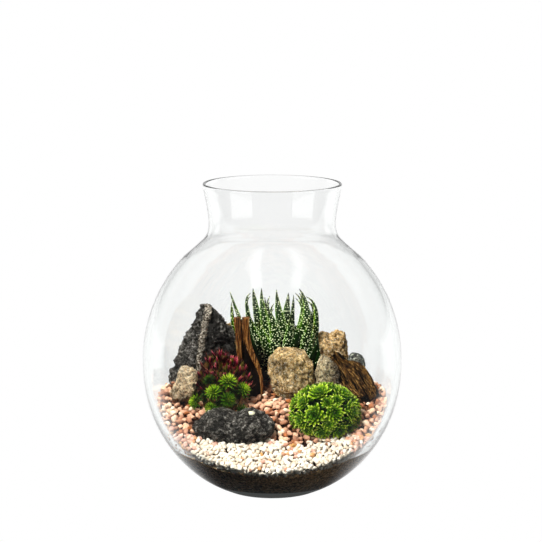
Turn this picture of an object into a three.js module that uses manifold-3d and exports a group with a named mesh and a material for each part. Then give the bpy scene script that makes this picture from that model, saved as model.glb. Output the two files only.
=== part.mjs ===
// A planted glass globe: a blown vase holding soil, gravel, stones, driftwood and succulents.
// Millimetres, +Z up. The origin is the centre of the glass foot, and the front is -Y.
import * as THREE from 'three';
import { mergeVertices } from 'three/addons/utils/BufferGeometryUtils.js';
import Module from 'manifold-3d';

const wasm = await Module();
wasm.setup();

// Glass vessel
const HEIGHT = 294;
const BELLY_RADIUS = 123.5;
const BELLY_HEIGHT = 124;
const LOWER_REACH = 132;
const UPPER_REACH = 136;
const BODY_POWER = 2.08;
const NECK_RADIUS = 59.9;
const NECK_HEIGHT = 255;
const SHOULDER_HEIGHT = 236;
const LIP_RADIUS = 66;
const LIP_HEIGHT = 290.5;
const BODY_WALL = 5.6;
const NECK_WALL = 4;
const INNER_LOWER_REACH = 124;
const FLOOR_HEIGHT = 8.5;
const FLOOR_EDGE_HEIGHT = 14;
const SEGMENTS = 32;

// Ground
const CLEARANCE = 0.35;
const POCKET_GROWTH = 0.5;
const SLOPE_HEIGHT = 85;
const SLOPE = 0.5;
const BACK_LEVEL = 91.5;
const SLOPE_BLEND = 20;
const SIDE_RISE = 6;
const SIDE_REACH = 115;
const SIDE_RISE_BACK = 30;
const SIDE_RISE_FRONT = -30;
const GRAVEL_DEPTH = 9;
const SOIL_EDGE_HEIGHT = 45;
const SOIL_EDGE_SLOPE = 0.17;
const SOIL_BANK_SLOPE = 1.2;
const WALL_AT_SOIL = 104;
const PEBBLE_PITCH = 12.5;
const PEBBLE_RISE = 2.2;
const PEBBLE_DIP = 1.2;
const WHITE_EDGE = -55;
const WHITE_EDGE_BEND = 20;
const WHITE_EDGE_REACH = 102;
const ROOT_DEPTH = 20;
const PLANT_LIFT = 0.6;
const BLOCK_BASE = -5;
const BLOCK_REACH = 140;
const BLOCK_STEPS = 14;
const BLOCK_HEIGHT = 200;

const PI = Math.PI;
const UP = new THREE.Vector3(0, 0, 1);

function hash(n) {
  const s = Math.sin(n * 12.9898) * 43758.5453;
  return s - Math.floor(s);
}

function jitter(n) {
  return hash(n) * 2 - 1;
}

function clamp(value, low, high) {
  return Math.min(high, Math.max(low, value));
}

function point(x, y, z) {
  return new THREE.Vector3(x, y, z);
}

// Solids and booleans

function solidFrom(geometry) {
  const bare = geometry.clone();
  bare.deleteAttribute('normal');
  bare.deleteAttribute('uv');
  const merged = mergeVertices(bare, 1e-4);
  const index = merged.index.array;
  const triVerts = [];
  for (let i = 0; i < index.length; i += 3) {
    const [a, b, c] = [index[i], index[i + 1], index[i + 2]];
    if (a !== b && b !== c && c !== a) {
      triVerts.push(a, b, c);
    }
  }
  const vertProperties = new Float32Array(merged.attributes.position.array);
  const mesh = new wasm.Mesh({ numProp: 3, vertProperties, triVerts: new Uint32Array(triVerts) });
  return new wasm.Manifold(mesh);
}

function geometryFrom(solid) {
  const bodies = solid.decompose();
  const body = bodies.reduce((best, other) => (other.volume() > best.volume() ? other : best));
  const mesh = body.getMesh();
  const geometry = new THREE.BufferGeometry();
  geometry.setAttribute('position', new THREE.BufferAttribute(new Float32Array(mesh.vertProperties), 3));
  geometry.setIndex(new THREE.BufferAttribute(new Uint32Array(mesh.triVerts), 1));
  geometry.computeVertexNormals();
  return geometry;
}

function joined(solids) {
  return solids.reduce((sum, solid) => sum.add(solid));
}

function without(solid, cutters) {
  return cutters.reduce((rest, cutter) => rest.subtract(cutter), solid);
}

// Solid from an indexed closed surface, with its faces turned outwards
function outwardSolid(geometry) {
  const solid = solidFrom(geometry);
  if (solid.volume() > 0) {
    return solid;
  }
  const turned = geometry.clone();
  const index = Array.from(geometry.index.array);
  for (let i = 0; i < index.length; i += 3) {
    [index[i + 1], index[i + 2]] = [index[i + 2], index[i + 1]];
  }
  turned.setIndex(index);
  return solidFrom(turned);
}

// Closed body through a stack of rings with the same number of points, with flat ends
function loft(rings) {
  const count = rings[0].length;
  const positions = rings.flat().flatMap((p) => [p.x, p.y, p.z]);
  const index = [];
  for (let level = 0; level + 1 < rings.length; level += 1) {
    for (let k = 0; k < count; k += 1) {
      const a = level * count + k;
      const b = level * count + ((k + 1) % count);
      index.push(a, b, b + count, a, b + count, a + count);
    }
  }
  const last = (rings.length - 1) * count;
  for (let k = 1; k + 1 < count; k += 1) {
    index.push(0, k + 1, k);
    index.push(last, last + k, last + k + 1);
  }
  const geometry = new THREE.BufferGeometry();
  geometry.setAttribute('position', new THREE.Float32BufferAttribute(positions, 3));
  geometry.setIndex(index);
  return outwardSolid(geometry);
}

function revolved(profile) {
  const points = profile.map(([radius, height]) => new THREE.Vector2(radius, height));
  const geometry = new THREE.LatheGeometry(points, SEGMENTS);
  geometry.rotateX(PI / 2);
  return solidFrom(geometry);
}

function ellipsoid(centre, half, detail = 1) {
  const geometry = new THREE.IcosahedronGeometry(1, detail);
  geometry.scale(half.x, half.y, half.z);
  geometry.translate(centre.x, centre.y, centre.z);
  return solidFrom(geometry);
}

// Round bar between two points
function bar(from, to, radius, sides = 8) {
  const axis = to.clone().sub(from);
  const geometry = new THREE.CylinderGeometry(radius, radius, axis.length(), sides);
  geometry.rotateX(PI / 2);
  geometry.applyQuaternion(new THREE.Quaternion().setFromUnitVectors(UP, axis.clone().normalize()));
  const middle = from.clone().add(to).multiplyScalar(0.5);
  geometry.translate(middle.x, middle.y, middle.z);
  return solidFrom(geometry);
}

// Glass vessel

function bodyCurve(radius, reach, power, from, to, steps) {
  const points = [];
  for (let i = 0; i <= steps; i += 1) {
    const angle = from + ((to - from) * i) / steps;
    const side = Math.sign(angle);
    const across = radius * Math.cos(angle) ** (2 / power);
    const rise = reach * Math.abs(Math.sin(angle)) ** (2 / power);
    points.push([across, BELLY_HEIGHT + side * rise]);
  }
  return points;
}

function lowerAngle(height, reach) {
  return -Math.asin(((BELLY_HEIGHT - height) / reach) ** (BODY_POWER / 2));
}

function upperAngle(height, reach) {
  return Math.asin((height - BELLY_HEIGHT) / reach);
}

function outerProfile() {
  const lower = bodyCurve(BELLY_RADIUS, LOWER_REACH, BODY_POWER, lowerAngle(0, LOWER_REACH), 0, 7);
  const shoulder = upperAngle(SHOULDER_HEIGHT, UPPER_REACH);
  const upper = bodyCurve(BELLY_RADIUS, UPPER_REACH, 2, 0, shoulder, 6);
  const neck = [
    [NECK_RADIUS + 3.4, SHOULDER_HEIGHT + 6.5],
    [NECK_RADIUS + 0.4, NECK_HEIGHT - 6],
    [NECK_RADIUS, NECK_HEIGHT + 1],
    [NECK_RADIUS + 1.6, NECK_HEIGHT + 16],
    [LIP_RADIUS - 1.6, LIP_HEIGHT - 5],
  ];
  return [...lower, ...upper.slice(1), ...neck];
}

function innerProfile(inset = 0) {
  const radius = BELLY_RADIUS - BODY_WALL - inset;
  const lowerReach = INNER_LOWER_REACH - inset;
  const upperReach = UPPER_REACH - BODY_WALL - inset;
  const edge = FLOOR_EDGE_HEIGHT + inset;
  const lower = bodyCurve(radius, lowerReach, BODY_POWER, lowerAngle(edge, lowerReach), 0, 6);
  const shoulder = upperAngle(SHOULDER_HEIGHT - 1, upperReach);
  const upper = bodyCurve(radius, upperReach, 2, 0, shoulder, 5);
  const floorEdge = lower[0][0];
  const floor = [
    [0, FLOOR_HEIGHT + inset],
    [floorEdge * 0.62, FLOOR_HEIGHT + inset + 0.6],
    [floorEdge * 0.85, FLOOR_HEIGHT + inset + 2],
  ];
  return [...floor, ...lower, ...upper.slice(1)];
}

function glassVessel() {
  const inner = innerProfile();
  const neck = [
    [NECK_RADIUS - NECK_WALL + 1.6, SHOULDER_HEIGHT + 9],
    [NECK_RADIUS - NECK_WALL, NECK_HEIGHT - 2],
    [NECK_RADIUS - NECK_WALL + 1.8, NECK_HEIGHT + 16],
  ];
  const lip = [
    [LIP_RADIUS, LIP_HEIGHT],
    [LIP_RADIUS - 1, HEIGHT - 0.9],
    [LIP_RADIUS - 2.6, HEIGHT],
    [LIP_RADIUS - 4.4, HEIGHT - 1.2],
  ];
  const outside = [[0, 0], ...outerProfile(), ...lip];
  const inside = [...inner, ...neck].reverse();
  return revolved([...outside, ...inside]);
}

// The room inside the bowl, up to the belly and above, a clearance inside the glass
function bowlRoom() {
  const profile = innerProfile(CLEARANCE);
  const top = profile[profile.length - 1][1];
  return revolved([...profile, [0, top]]);
}

// Ground

function groundHeight(x, y) {
  const slope = SLOPE_HEIGHT + SLOPE * y;
  const overlap = Math.max(0, SLOPE_BLEND - Math.abs(slope - BACK_LEVEL));
  const level = Math.min(slope, BACK_LEVEL) - overlap ** 2 / (4 * SLOPE_BLEND);
  const forward = clamp((SIDE_RISE_BACK - y) / (SIDE_RISE_BACK - SIDE_RISE_FRONT), 0, 1);
  return level + SIDE_RISE * forward * (x / SIDE_REACH) ** 2;
}

function soilHeight(x, y) {
  const bank = SOIL_BANK_SLOPE * (WALL_AT_SOIL - Math.hypot(x, y));
  const edge = SOIL_EDGE_HEIGHT + SOIL_EDGE_SLOPE * y + bank;
  return Math.min(groundHeight(x, y) - GRAVEL_DEPTH, edge);
}

// Flat nets of triangles that carry the two surfaces: rings for the soil, a lattice for the pebbles

function ringNet(radii, sectors) {
  const points = [[0, 0]];
  const faces = [];
  radii.forEach((radius, ring) => {
    for (let k = 0; k < sectors; k += 1) {
      const angle = (2 * PI * (k + 0.5 * (ring % 2))) / sectors;
      points.push([radius * Math.cos(angle), radius * Math.sin(angle)]);
    }
    for (let k = 0; k < sectors; k += 1) {
      const next = (k + 1) % sectors;
      const [c, d] = [1 + ring * sectors + k, 1 + ring * sectors + next];
      if (ring === 0) {
        faces.push([0, c, d]);
      } else {
        const [a, b] = [c - sectors, d - sectors];
        const odd = ring % 2 === 1;
        faces.push(odd ? [a, c, b] : [a, c, d]);
        faces.push(odd ? [b, c, d] : [a, d, b]);
      }
    }
  });
  return { points, faces };
}

function pebbleNet(radius) {
  const points = [];
  const faces = [];
  const dips = new Set();
  const rowPitch = PEBBLE_PITCH * Math.sqrt(0.75);
  const rows = Math.ceil(radius / rowPitch) + 1;
  const columns = Math.ceil(radius / PEBBLE_PITCH) + 1;
  const width = 2 * columns + 1;
  for (let row = -rows; row <= rows; row += 1) {
    for (let column = -columns; column <= columns; column += 1) {
      const seed = points.length * 2;
      const shift = Math.abs(row % 2) / 2;
      const x = (column + shift + 0.2 * jitter(seed)) * PEBBLE_PITCH;
      const y = row * rowPitch + 0.2 * jitter(seed + 1) * PEBBLE_PITCH;
      points.push([x, y]);
    }
  }
  const add = (a, b, c) => {
    const middle = [0, 1].map((i) => (points[a][i] + points[b][i] + points[c][i]) / 3);
    if (Math.hypot(...middle) < radius) {
      const m = points.length;
      points.push(middle);
      dips.add(m);
      faces.push([a, b, m], [b, c, m], [c, a, m]);
    }
  };
  for (let row = 0; row < 2 * rows; row += 1) {
    const odd = Math.abs((row - rows) % 2) === 1;
    for (let column = 0; column < 2 * columns; column += 1) {
      const a = row * width + column;
      const [b, c, d] = [a + 1, a + width, a + width + 1];
      if (odd) {
        add(a, b, d);
        add(a, d, c);
      } else {
        add(a, b, c);
        add(b, d, c);
      }
    }
  }
  return { points, faces, dips };
}

// Block with the given surface as its top, down to a flat underside
function blockUnder(net, height, base) {
  const used = [...new Set(net.faces.flat())];
  const place = new Map(used.map((old, i) => [old, i]));
  const count = used.length;
  const positions = [];
  used.forEach((old) => {
    const [x, y] = net.points[old];
    positions.push(x, y, height(x, y, old));
  });
  used.forEach((old) => positions.push(...net.points[old], base));
  const index = [];
  const edges = new Map();
  net.faces.forEach((face) => {
    const [a, b, c] = face.map((old) => place.get(old));
    index.push(a, b, c, a + count, c + count, b + count);
    [[a, b], [b, c], [c, a]].forEach(([from, to]) => {
      if (!edges.delete(`${to},${from}`)) {
        edges.set(`${from},${to}`, [from, to]);
      }
    });
  });
  edges.forEach(([a, b]) => index.push(a, b + count, b, a, a + count, b + count));
  const geometry = new THREE.BufferGeometry();
  geometry.setAttribute('position', new THREE.Float32BufferAttribute(positions, 3));
  geometry.setIndex(index);
  return solidFrom(geometry);
}

const NET_RADIUS = 124;
const SOIL_RINGS = [40, 66, 84, 96, 108, NET_RADIUS];
const soilNet = ringNet(SOIL_RINGS, 20);
const coarseNet = ringNet([28, 52, 74, 98, NET_RADIUS], 18);
const gravelNet = pebbleNet(NET_RADIUS);

function soilBlock(lift) {
  return blockUnder(soilNet, (x, y) => soilHeight(x, y) + lift, BLOCK_BASE);
}

function gravelBlock() {
  const height = (x, y, id) => {
    const change = gravelNet.dips.has(id) ? -PEBBLE_DIP : PEBBLE_RISE * (0.55 + 0.45 * hash(id * 7 + 3));
    return groundHeight(x, y) + change;
  };
  return blockUnder(gravelNet, height, BLOCK_BASE);
}

// Everything above this block is clear of the pebbles
const groundTop = PEBBLE_RISE + PLANT_LIFT;
const groundBlock = blockUnder(coarseNet, (x, y) => groundHeight(x, y) + groundTop, BLOCK_BASE);

// Upright block over the white crescent at the front, out to a given side of its edge
function whiteBlock(offset) {
  const shape = new THREE.Shape();
  shape.moveTo(-BLOCK_REACH, -BLOCK_REACH);
  shape.lineTo(BLOCK_REACH, -BLOCK_REACH);
  for (let i = 0; i <= BLOCK_STEPS; i += 1) {
    const x = BLOCK_REACH * (1 - (2 * i) / BLOCK_STEPS);
    const bend = WHITE_EDGE_BEND * Math.min(1.6, (x / WHITE_EDGE_REACH) ** 4);
    shape.lineTo(x, WHITE_EDGE + bend + offset);
  }
  shape.closePath();
  return solidFrom(new THREE.ExtrudeGeometry(shape, { depth: BLOCK_HEIGHT, bevelEnabled: false }));
}

// Stones

// A boulder: a faceted ball made squarer, roughened and leant over. A positive growth makes its pocket.
function boulder(stone, growth = 0) {
  const { centre, half, square = 2.4, rough = 0.1, seed = 0, taper = 0, detail = 2 } = stone;
  const { lean = 0, turn = 0, tilt = 0 } = stone;
  const geometry = new THREE.IcosahedronGeometry(1, detail);
  const place = geometry.attributes.position;
  const v = new THREE.Vector3();
  for (let i = 0; i < place.count; i += 1) {
    v.fromBufferAttribute(place, i).normalize();
    const [x, y, z] = [v.x, v.y, v.z];
    const blocky = (Math.abs(x) ** square + Math.abs(y) ** square + Math.abs(z) ** square) ** (-1 / square);
    const waves = Math.sin(2.9 * x + seed) + Math.sin(3.7 * y + 2.1 * seed) + Math.sin(3.3 * z - 1.7 * seed);
    const grain = jitter(Math.round(97 * x) + 31 * Math.round(89 * y) + 7 * Math.round(83 * z) + seed);
    const size = blocky * (1 + rough * (0.3 * waves + 0.35 * grain));
    const narrow = 1 - taper * z;
    place.setXYZ(
      i,
      x * size * half[0] * narrow + x * growth,
      y * size * half[1] * narrow + y * growth,
      z * size * half[2] + z * growth,
    );
  }
  geometry.rotateY(lean);
  geometry.rotateX(tilt);
  geometry.rotateZ(turn);
  geometry.translate(...centre);
  return solidFrom(geometry);
}

const STONES = {
  tan_rock_centre: { centre: [17.5, 18, 106.8], half: [22.5, 15, 24.4], square: 2.9, seed: 4, rough: 0.11 },
  tan_rock_small: {
    centre: [53.2, 12.5, 104], half: [11.5, 8, 20], seed: 9, taper: 0.12, detail: 1,
  },
  tan_rock_back: { centre: [61, 54, 114], half: [14, 12.5, 26], square: 8, seed: 2, rough: 0.06, lean: 0.04 },
  tan_rock_behind: { centre: [-44, 80, 115], half: [12.5, 10, 28], square: 3, seed: 6, detail: 1 },
  beige_stone_left: {
    centre: [-84, -2, 100], half: [13, 10, 19.5], seed: 11, taper: 0.25, lean: 0.14, detail: 1,
  },
  dark_stone_right: { centre: [84, 41, 105.5], half: [8.2, 8, 15.5], square: 2.6, seed: 5, detail: 1 },
  lava_rock_front: {
    centre: [-36.5, -41, 68], half: [36.5, 20, 13], square: 2.7, seed: 7, rough: 0.2, tilt: 0.4, turn: -0.06,
  },
};

// The tall rock narrows from a long foot to a peak: height, middle x, middle y, half width, half depth
const TALL_ROCK = [
  [86, -65, 45, 34, 16],
  [104, -65, 45, 33.5, 16],
  [121, -64, 45, 28.5, 15],
  [140, -62, 45.5, 22.5, 12.5],
  [152, -62.5, 46, 15, 9.5],
  [161, -64, 46, 9, 7],
  [169.5, -66, 46, 3.4, 3.4],
];

// The upright driftwood, in the same terms
const UPRIGHT_WOOD = [
  [80, -17, 19, 9, 7],
  [92, -17, 19, 9.5, 7],
  [106, -18.5, 18.5, 10, 6.8],
  [121, -21, 18, 9.6, 6.2],
  [137, -25, 17, 8.4, 5.6],
  [150, -28, 16.5, 7.2, 5.2],
  [162, -30.4, 16, 6.4, 4.6],
];

// A stack of rough rings, for the tall rock and the upright driftwood
function stack(levels, sides, rough, seed, growth = 0) {
  const rings = levels.map(([z, x, y, halfX, halfY], level) => {
    const end = level === 0 ? -growth : level === levels.length - 1 ? growth : 0;
    return Array.from({ length: sides }, (_, k) => {
      const angle = (2 * PI * k) / sides;
      const size = 1 + rough * jitter(seed + k * 3.1 + level * 0.37);
      return point(
        x + (halfX * size + growth) * Math.cos(angle),
        y + (halfY * size + growth) * Math.sin(angle),
        z + end,
      );
    });
  });
  return loft(rings);
}

function tallRock(growth = 0) {
  return stack(TALL_ROCK, 11, 0.12, 40, growth);
}

function uprightWood(growth = 0) {
  return stack(UPRIGHT_WOOD, 12, 0.16, 12, growth);
}

// The sloping driftwood: a ridged slab from its upper end to its lower end
const SLOPING_WOOD = {
  upper: point(63, 31, 117),
  lower: point(95, -4, 90),
  face: point(0.03, -0.64, 0.74),
  halfWidths: [6, 9, 12, 13.5, 14, 11],
  halfDepth: 4.6,
};

function slopingWood(growth = 0) {
  const { upper, lower, face, halfWidths, halfDepth } = SLOPING_WOOD;
  const along = lower.clone().sub(upper).normalize();
  const across = face.clone().cross(along).normalize();
  const outward = along.clone().cross(across).normalize();
  const last = halfWidths.length - 1;
  const sides = 12;
  const rings = halfWidths.map((halfWidth, level) => {
    const share = level / last;
    const end = level === 0 ? -growth : level === last ? growth : 0;
    const middle = upper.clone().lerp(lower, share).addScaledVector(along, end);
    return Array.from({ length: sides }, (_, k) => {
      const angle = (2 * PI * k) / sides;
      const ridge = 1 + 0.2 * jitter(70 + k * 5.3 + level * 0.21);
      return middle.clone()
        .addScaledVector(across, (halfWidth + growth) * Math.cos(angle))
        .addScaledVector(outward, (halfDepth * ridge + growth) * Math.sin(angle));
    });
  });
  return loft(rings);
}

// The pale pebble that lies on the low rock
const STRAY_PEBBLE = { centre: point(-19.5, -45, 82.4), half: point(4.2, 3, 2.2) };

// Leaves

// A slender leaf along a bent middle line, four-sided, with a keel on its back
const LEAF_SHARES = [0, 0.3, 0.7, 1];
const LEAF_WIDTHS = [0.75, 1, 0.62, 0.05];

function bentLeaf(foot, middle, tip, width, centre) {
  const control = middle.clone().multiplyScalar(2).addScaledVector(foot, -0.5).addScaledVector(tip, -0.5);
  const curve = new THREE.QuadraticBezierCurve3(foot, control, tip);
  const outwards = middle.clone().sub(centre).setZ(0);
  const across = point(-outwards.y, outwards.x, 0).normalize();
  const rings = LEAF_SHARES.map((share, level) => {
    const spot = curve.getPoint(share);
    const along = curve.getTangent(share);
    const out = across.clone().cross(along).normalize();
    const half = (width / 2) * LEAF_WIDTHS[level];
    return [
      spot.clone().addScaledVector(across, half),
      spot.clone().addScaledVector(out, 0.75 * half),
      spot.clone().addScaledVector(across, -half),
      spot.clone().addScaledVector(out, -0.3 * half),
    ];
  });
  return loft(rings);
}

// A rosette of two rows of pointed leaves, as one star-shaped body. Outer leaves open at one angle from the
// axis, inner ones at a smaller one, and the inner tips stand over the valleys between the outer leaves.
const ROSETTE = { cup: 0.12, depth: 0.42, valley: 0.42, innerValley: 0.34 };

function rosette(centre, axis, { count, open, inner, innerLength }, size, seed) {
  const up = axis.clone().normalize();
  const helper = Math.abs(up.z) < 0.9 ? UP : point(1, 0, 0);
  const sideways = helper.clone().cross(up).normalize();
  const spot = (turn, spread, share) => {
    const spoke = sideways.clone().applyAxisAngle(up, turn);
    return centre.clone()
      .addScaledVector(up, size * share * Math.cos(spread))
      .addScaledVector(spoke, size * share * Math.sin(spread));
  };
  const vertices = [spot(0, 0, ROSETTE.cup), spot(0, PI, ROSETTE.depth)];
  const index = [];
  const [cup, root, ring] = [0, 1, 4];
  for (let k = 0; k < count; k += 1) {
    const turn = (2 * PI * k) / count;
    const between = turn + PI / count;
    const wander = (n) => jitter(seed + k * 7 + n);
    vertices.push(
      spot(turn + 0.15 * wander(0), open + 0.12 * wander(1), 1 + 0.1 * wander(2)),
      spot(between, open + 0.1, ROSETTE.valley),
      spot(between + 0.15 * wander(3), inner + 0.1 * wander(4), innerLength * (1 + 0.1 * wander(5))),
      spot(turn, inner + 0.35, ROSETTE.innerValley),
    );
    const [tip, valley, innerTip, innerValley] = [0, 1, 2, 3].map((n) => 2 + k * ring + n);
    const next = 2 + ((k + 1) % count) * ring;
    index.push(cup, innerValley, innerTip, cup, innerTip, next + 3);
    index.push(innerValley, tip, valley, innerValley, valley, innerTip);
    index.push(innerTip, valley, next + 3, next + 3, valley, next);
    index.push(root, valley, tip, root, next, valley);
  }
  const positions = vertices.flatMap((p) => [p.x, p.y, p.z]);
  const geometry = new THREE.BufferGeometry();
  geometry.setAttribute('position', new THREE.Float32BufferAttribute(positions, 3));
  geometry.setIndex(index);
  return outwardSolid(geometry);
}

// Haworthias: where each stands, and its leaves. A leaf is the tip's x, y and height from the plant's foot,
// the x and y of its middle, and its width.
const HAWORTHIAS = {
  haworthia_left: {
    at: [-21, 60],
    leaves: [
      [-21, -2, 87.5, -12, -2, 7.9],
      [-18, 4, 80.5, -17, 2, 7.3],
      [-10, 8, 71.5, -9, 6, 8.5],
      [2, 6, 63.5, 3, 5, 7.9],
    ],
  },
  haworthia_centre: {
    at: [-5, 50],
    leaves: [
      [-16.5, -2, 86.5, -19, -3, 9.8],
      [-13.5, 1, 90.5, -9, 0, 12.8],
      [-5.5, 3, 91.5, -5, 1, 11.6],
      [-2.5, -5, 81.5, -2, -6, 11],
      [3, 5, 83.5, 0, 5, 10.4],
      [7, 0, 74.5, 2, -2, 9.8],
      [-8, -8, 69.5, -6, -9, 14.6],
      [1, -9, 59.5, 2, -9.5, 13.4],
      [-12, 9, 77.5, -10, 8, 11.6],
      [4, 12, 71.5, 3, 10, 11.6],
    ],
  },
  haworthia_middle: {
    at: [13, 54],
    leaves: [
      [-8.5, -3, 89.5, -6, -3, 12.2],
      [3, 1, 86.5, 1, -1, 12.8],
      [8, -2, 83.5, 7.5, -2, 10.4],
      [0, -8, 67.5, -1, -9, 13.4],
      [-6, 8, 79.5, -5, 8, 11.6],
      [6, 9, 75.5, 6, 8, 11.6],
    ],
  },
  haworthia_right: {
    at: [33, 50],
    leaves: [
      [-10, 0, 86.5, -5, -1, 10.4],
      [-6.5, -3, 90.5, 0, -4, 13.4],
      [0, 2, 82.5, 10.5, 1, 11],
      [3, -4, 70.5, 7, -6, 10.4],
      [2, -8, 61.5, 3, -8.5, 12.8],
      [-6, 8, 81.5, -6, 8, 11.6],
      [6, 9, 76.5, 7, 9, 11.6],
    ],
  },
};
const HAWORTHIA_CORE = 6;

function haworthia({ at: [x, y], leaves }) {
  const ground = groundHeight(x, y);
  const centre = point(x, y, ground);
  const parts = leaves.map(([tipX, tipY, height, bowX, bowY, width]) => {
    const out = point(bowX, bowY, 0).normalize();
    const foot = centre.clone().addScaledVector(out, 3).setZ(ground + 5);
    const middle = point(x + bowX, y + bowY, ground + 5 + (height - 5) * 0.5);
    const tip = point(x + tipX, y + tipY, ground + height);
    return bentLeaf(foot, middle, tip, width, centre);
  });
  const core = bar(centre.clone().setZ(ground - 2), centre.clone().setZ(ground + 14), HAWORTHIA_CORE, 7);
  return joined([core, ...parts]);
}

// The green cushion: heads on a dome, given by the compass angle and the rise of each
const CUSHION = { centre: point(50, -26, 76.5), half: point(27, 27.5, 22.5), seat: 1, head: 12.5 };
const CUSHION_HEADS = [
  [-112, 58], [-36, 55], [-106, 16], [-72, 17], [-98, -19], [-62, -15], [-36, 20], [-158, 30], [-138, 4],
  [75, 74], [150, 52], [0, 22], [40, 38], [95, 34], [135, 16], [176, -2], [68, 6], [105, -6], [-30, -14],
  [-128, 34], [-80, 42], [-118, -14],
];
const CUSHION_LEAVES = { count: 7, open: 1.1, inner: 0.55, innerLength: 0.72 };

function greenCushion() {
  const { centre, half, seat, head } = CUSHION;
  const heads = CUSHION_HEADS.map(([compass, rise], n) => {
    const [turn, lift] = [THREE.MathUtils.degToRad(compass), THREE.MathUtils.degToRad(rise)];
    const out = point(Math.cos(lift) * Math.cos(turn), Math.cos(lift) * Math.sin(turn), Math.sin(lift));
    const spot = centre.clone().add(out.clone().multiply(half).multiplyScalar(seat));
    return rosette(spot, out, CUSHION_LEAVES, head, 100 + n * 40);
  });
  return joined([ellipsoid(centre, half), ...heads]);
}

// The light green clump: heads on stems from a low mound, each given by its middle and its size
const GREEN_MOUND = { centre: point(-52, -16, 77), half: point(22, 9, 9) };
const GREEN_HEADS = [
  [-75, -16, 86, 14], [-57.5, -18, 97, 14.5], [-41, -15, 107, 14.5], [-26, -11, 99, 14.5],
  [-39, -25, 90, 14], [-57, -27, 82, 11], [-60, -9, 107, 11], [-27, -27, 80, 8],
];
const GREEN_LEAVES = { count: 8, open: 1.15, inner: 0.6, innerLength: 0.85 };

function greenClump() {
  const { centre, half } = GREEN_MOUND;
  const parts = GREEN_HEADS.flatMap(([x, y, z, size], n) => {
    const head = point(x, y, z);
    const foot = point(x * 0.75 + centre.x * 0.25, y * 0.6 + centre.y * 0.4, groundHeight(x, y) - 1);
    const axis = head.clone().sub(foot).add(point(0, -8, 4));
    return [bar(foot, head, 2, 4), rosette(head, axis, GREEN_LEAVES, size, 900 + n * 30)];
  });
  return joined([ellipsoid(centre, half), ...parts]);
}

// The burgundy clump: narrow upright heads from a mound
const RED_MOUND = { centre: point(-50, 7, 98), half: point(17, 8, 20) };
const RED_HEAD = 13.5;
const RED_HEADS = [
  [-69, 5, 104], [-64, 8, 114], [-58, 3, 118], [-53, 9, 123], [-47, 3, 121], [-41, 8, 118], [-35, 4, 109],
  [-60, 14, 113], [-47, 15, 119], [-63, -2, 103], [-40, -2, 107], [-52, -3, 111],
];
const RED_LEAVES = { count: 5, open: 0.8, inner: 0.3, innerLength: 1 };

function redClump() {
  const { centre, half } = RED_MOUND;
  const heads = RED_HEADS.map(([x, y, z], n) => {
    const head = point(x, y, z);
    const axis = head.clone().sub(centre).normalize().add(point(0, -0.2, 1.1));
    return rosette(head, axis, RED_LEAVES, RED_HEAD, 1500 + n * 25);
  });
  return joined([ellipsoid(centre, half), ...heads]);
}

// Roots: a plain plug below each plant, in a plain hole through the gravel into the soil

const ROOTS = {
  haworthia_left: { at: HAWORTHIAS.haworthia_left.at, radius: 5 },
  haworthia_centre: { at: HAWORTHIAS.haworthia_centre.at, radius: 5 },
  haworthia_middle: { at: HAWORTHIAS.haworthia_middle.at, radius: 5 },
  haworthia_right: { at: HAWORTHIAS.haworthia_right.at, radius: 5 },
  green_cushion: { at: [50, -23], radius: 12 },
  green_clump: { at: [-52, -16], radius: 6 },
  red_clump: { at: [-50, 7], radius: 7 },
};

function rootPlug({ at: [x, y], radius }, growth = 0) {
  const ground = groundHeight(x, y);
  return bar(point(x, y, ground - ROOT_DEPTH - growth), point(x, y, ground + 6), radius + growth, 6);
}

// The object

const material = (color, roughness, more = {}) => new THREE.MeshStandardMaterial({ color, roughness, ...more });

const MATERIALS = {
  glass: material(0xe9f0ee, 0.03, { transparent: true, opacity: 0.25 }),
  soil: material(0x35281d, 0.95),
  pinkGravel: material(0xd9a189, 0.6),
  whiteGravel: material(0xf2eadc, 0.6),
  cream: material(0xe3dcb9, 0.6),
  lava: material(0x2c2b2d, 0.9),
  tanRock: material(0xa88d64, 0.85),
  beigeRock: material(0xb5a688, 0.85),
  greyRock: material(0x55595c, 0.7),
  redWood: material(0x8a5733, 0.8),
  darkWood: material(0x4c3521, 0.85),
  haworthia: material(0x2d5426, 0.45),
  cushion: material(0x86b92c, 0.5),
  lightGreen: material(0x63a026, 0.5),
  burgundy: material(0x6a2134, 0.5),
};

const STONE_MATERIALS = {
  tan_rock_centre: MATERIALS.tanRock,
  tan_rock_small: MATERIALS.tanRock,
  tan_rock_back: MATERIALS.tanRock,
  tan_rock_behind: MATERIALS.tanRock,
  beige_stone_left: MATERIALS.beigeRock,
  dark_stone_right: MATERIALS.greyRock,
  lava_rock_front: MATERIALS.lava,
};

const terrarium = new THREE.Group();
terrarium.name = 'glass_plant_terrarium';

function place(name, solid, finish) {
  const mesh = new THREE.Mesh(geometryFrom(solid), finish);
  mesh.name = name;
  terrarium.add(mesh);
}

const pockets = [
  ...Object.values(STONES).map((stone) => boulder(stone, POCKET_GROWTH)),
  tallRock(POCKET_GROWTH),
  uprightWood(POCKET_GROWTH),
  slopingWood(POCKET_GROWTH),
];
const rootHoles = Object.values(ROOTS).map((root) => rootPlug(root, CLEARANCE));

place('glass_vessel', glassVessel(), MATERIALS.glass);

const room = bowlRoom();
const soil = without(room.intersect(soilBlock(0)), [...pockets, ...rootHoles]);
const gravelLayer = room.intersect(gravelBlock()).subtract(soilBlock(CLEARANCE));
const gravel = without(gravelLayer, [...pockets, ...rootHoles]);
place('soil', soil, MATERIALS.soil);
place('gravel_pink', gravel.subtract(whiteBlock(CLEARANCE / 2)), MATERIALS.pinkGravel);
place('gravel_white', gravel.intersect(whiteBlock(-CLEARANCE / 2)), MATERIALS.whiteGravel);

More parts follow.
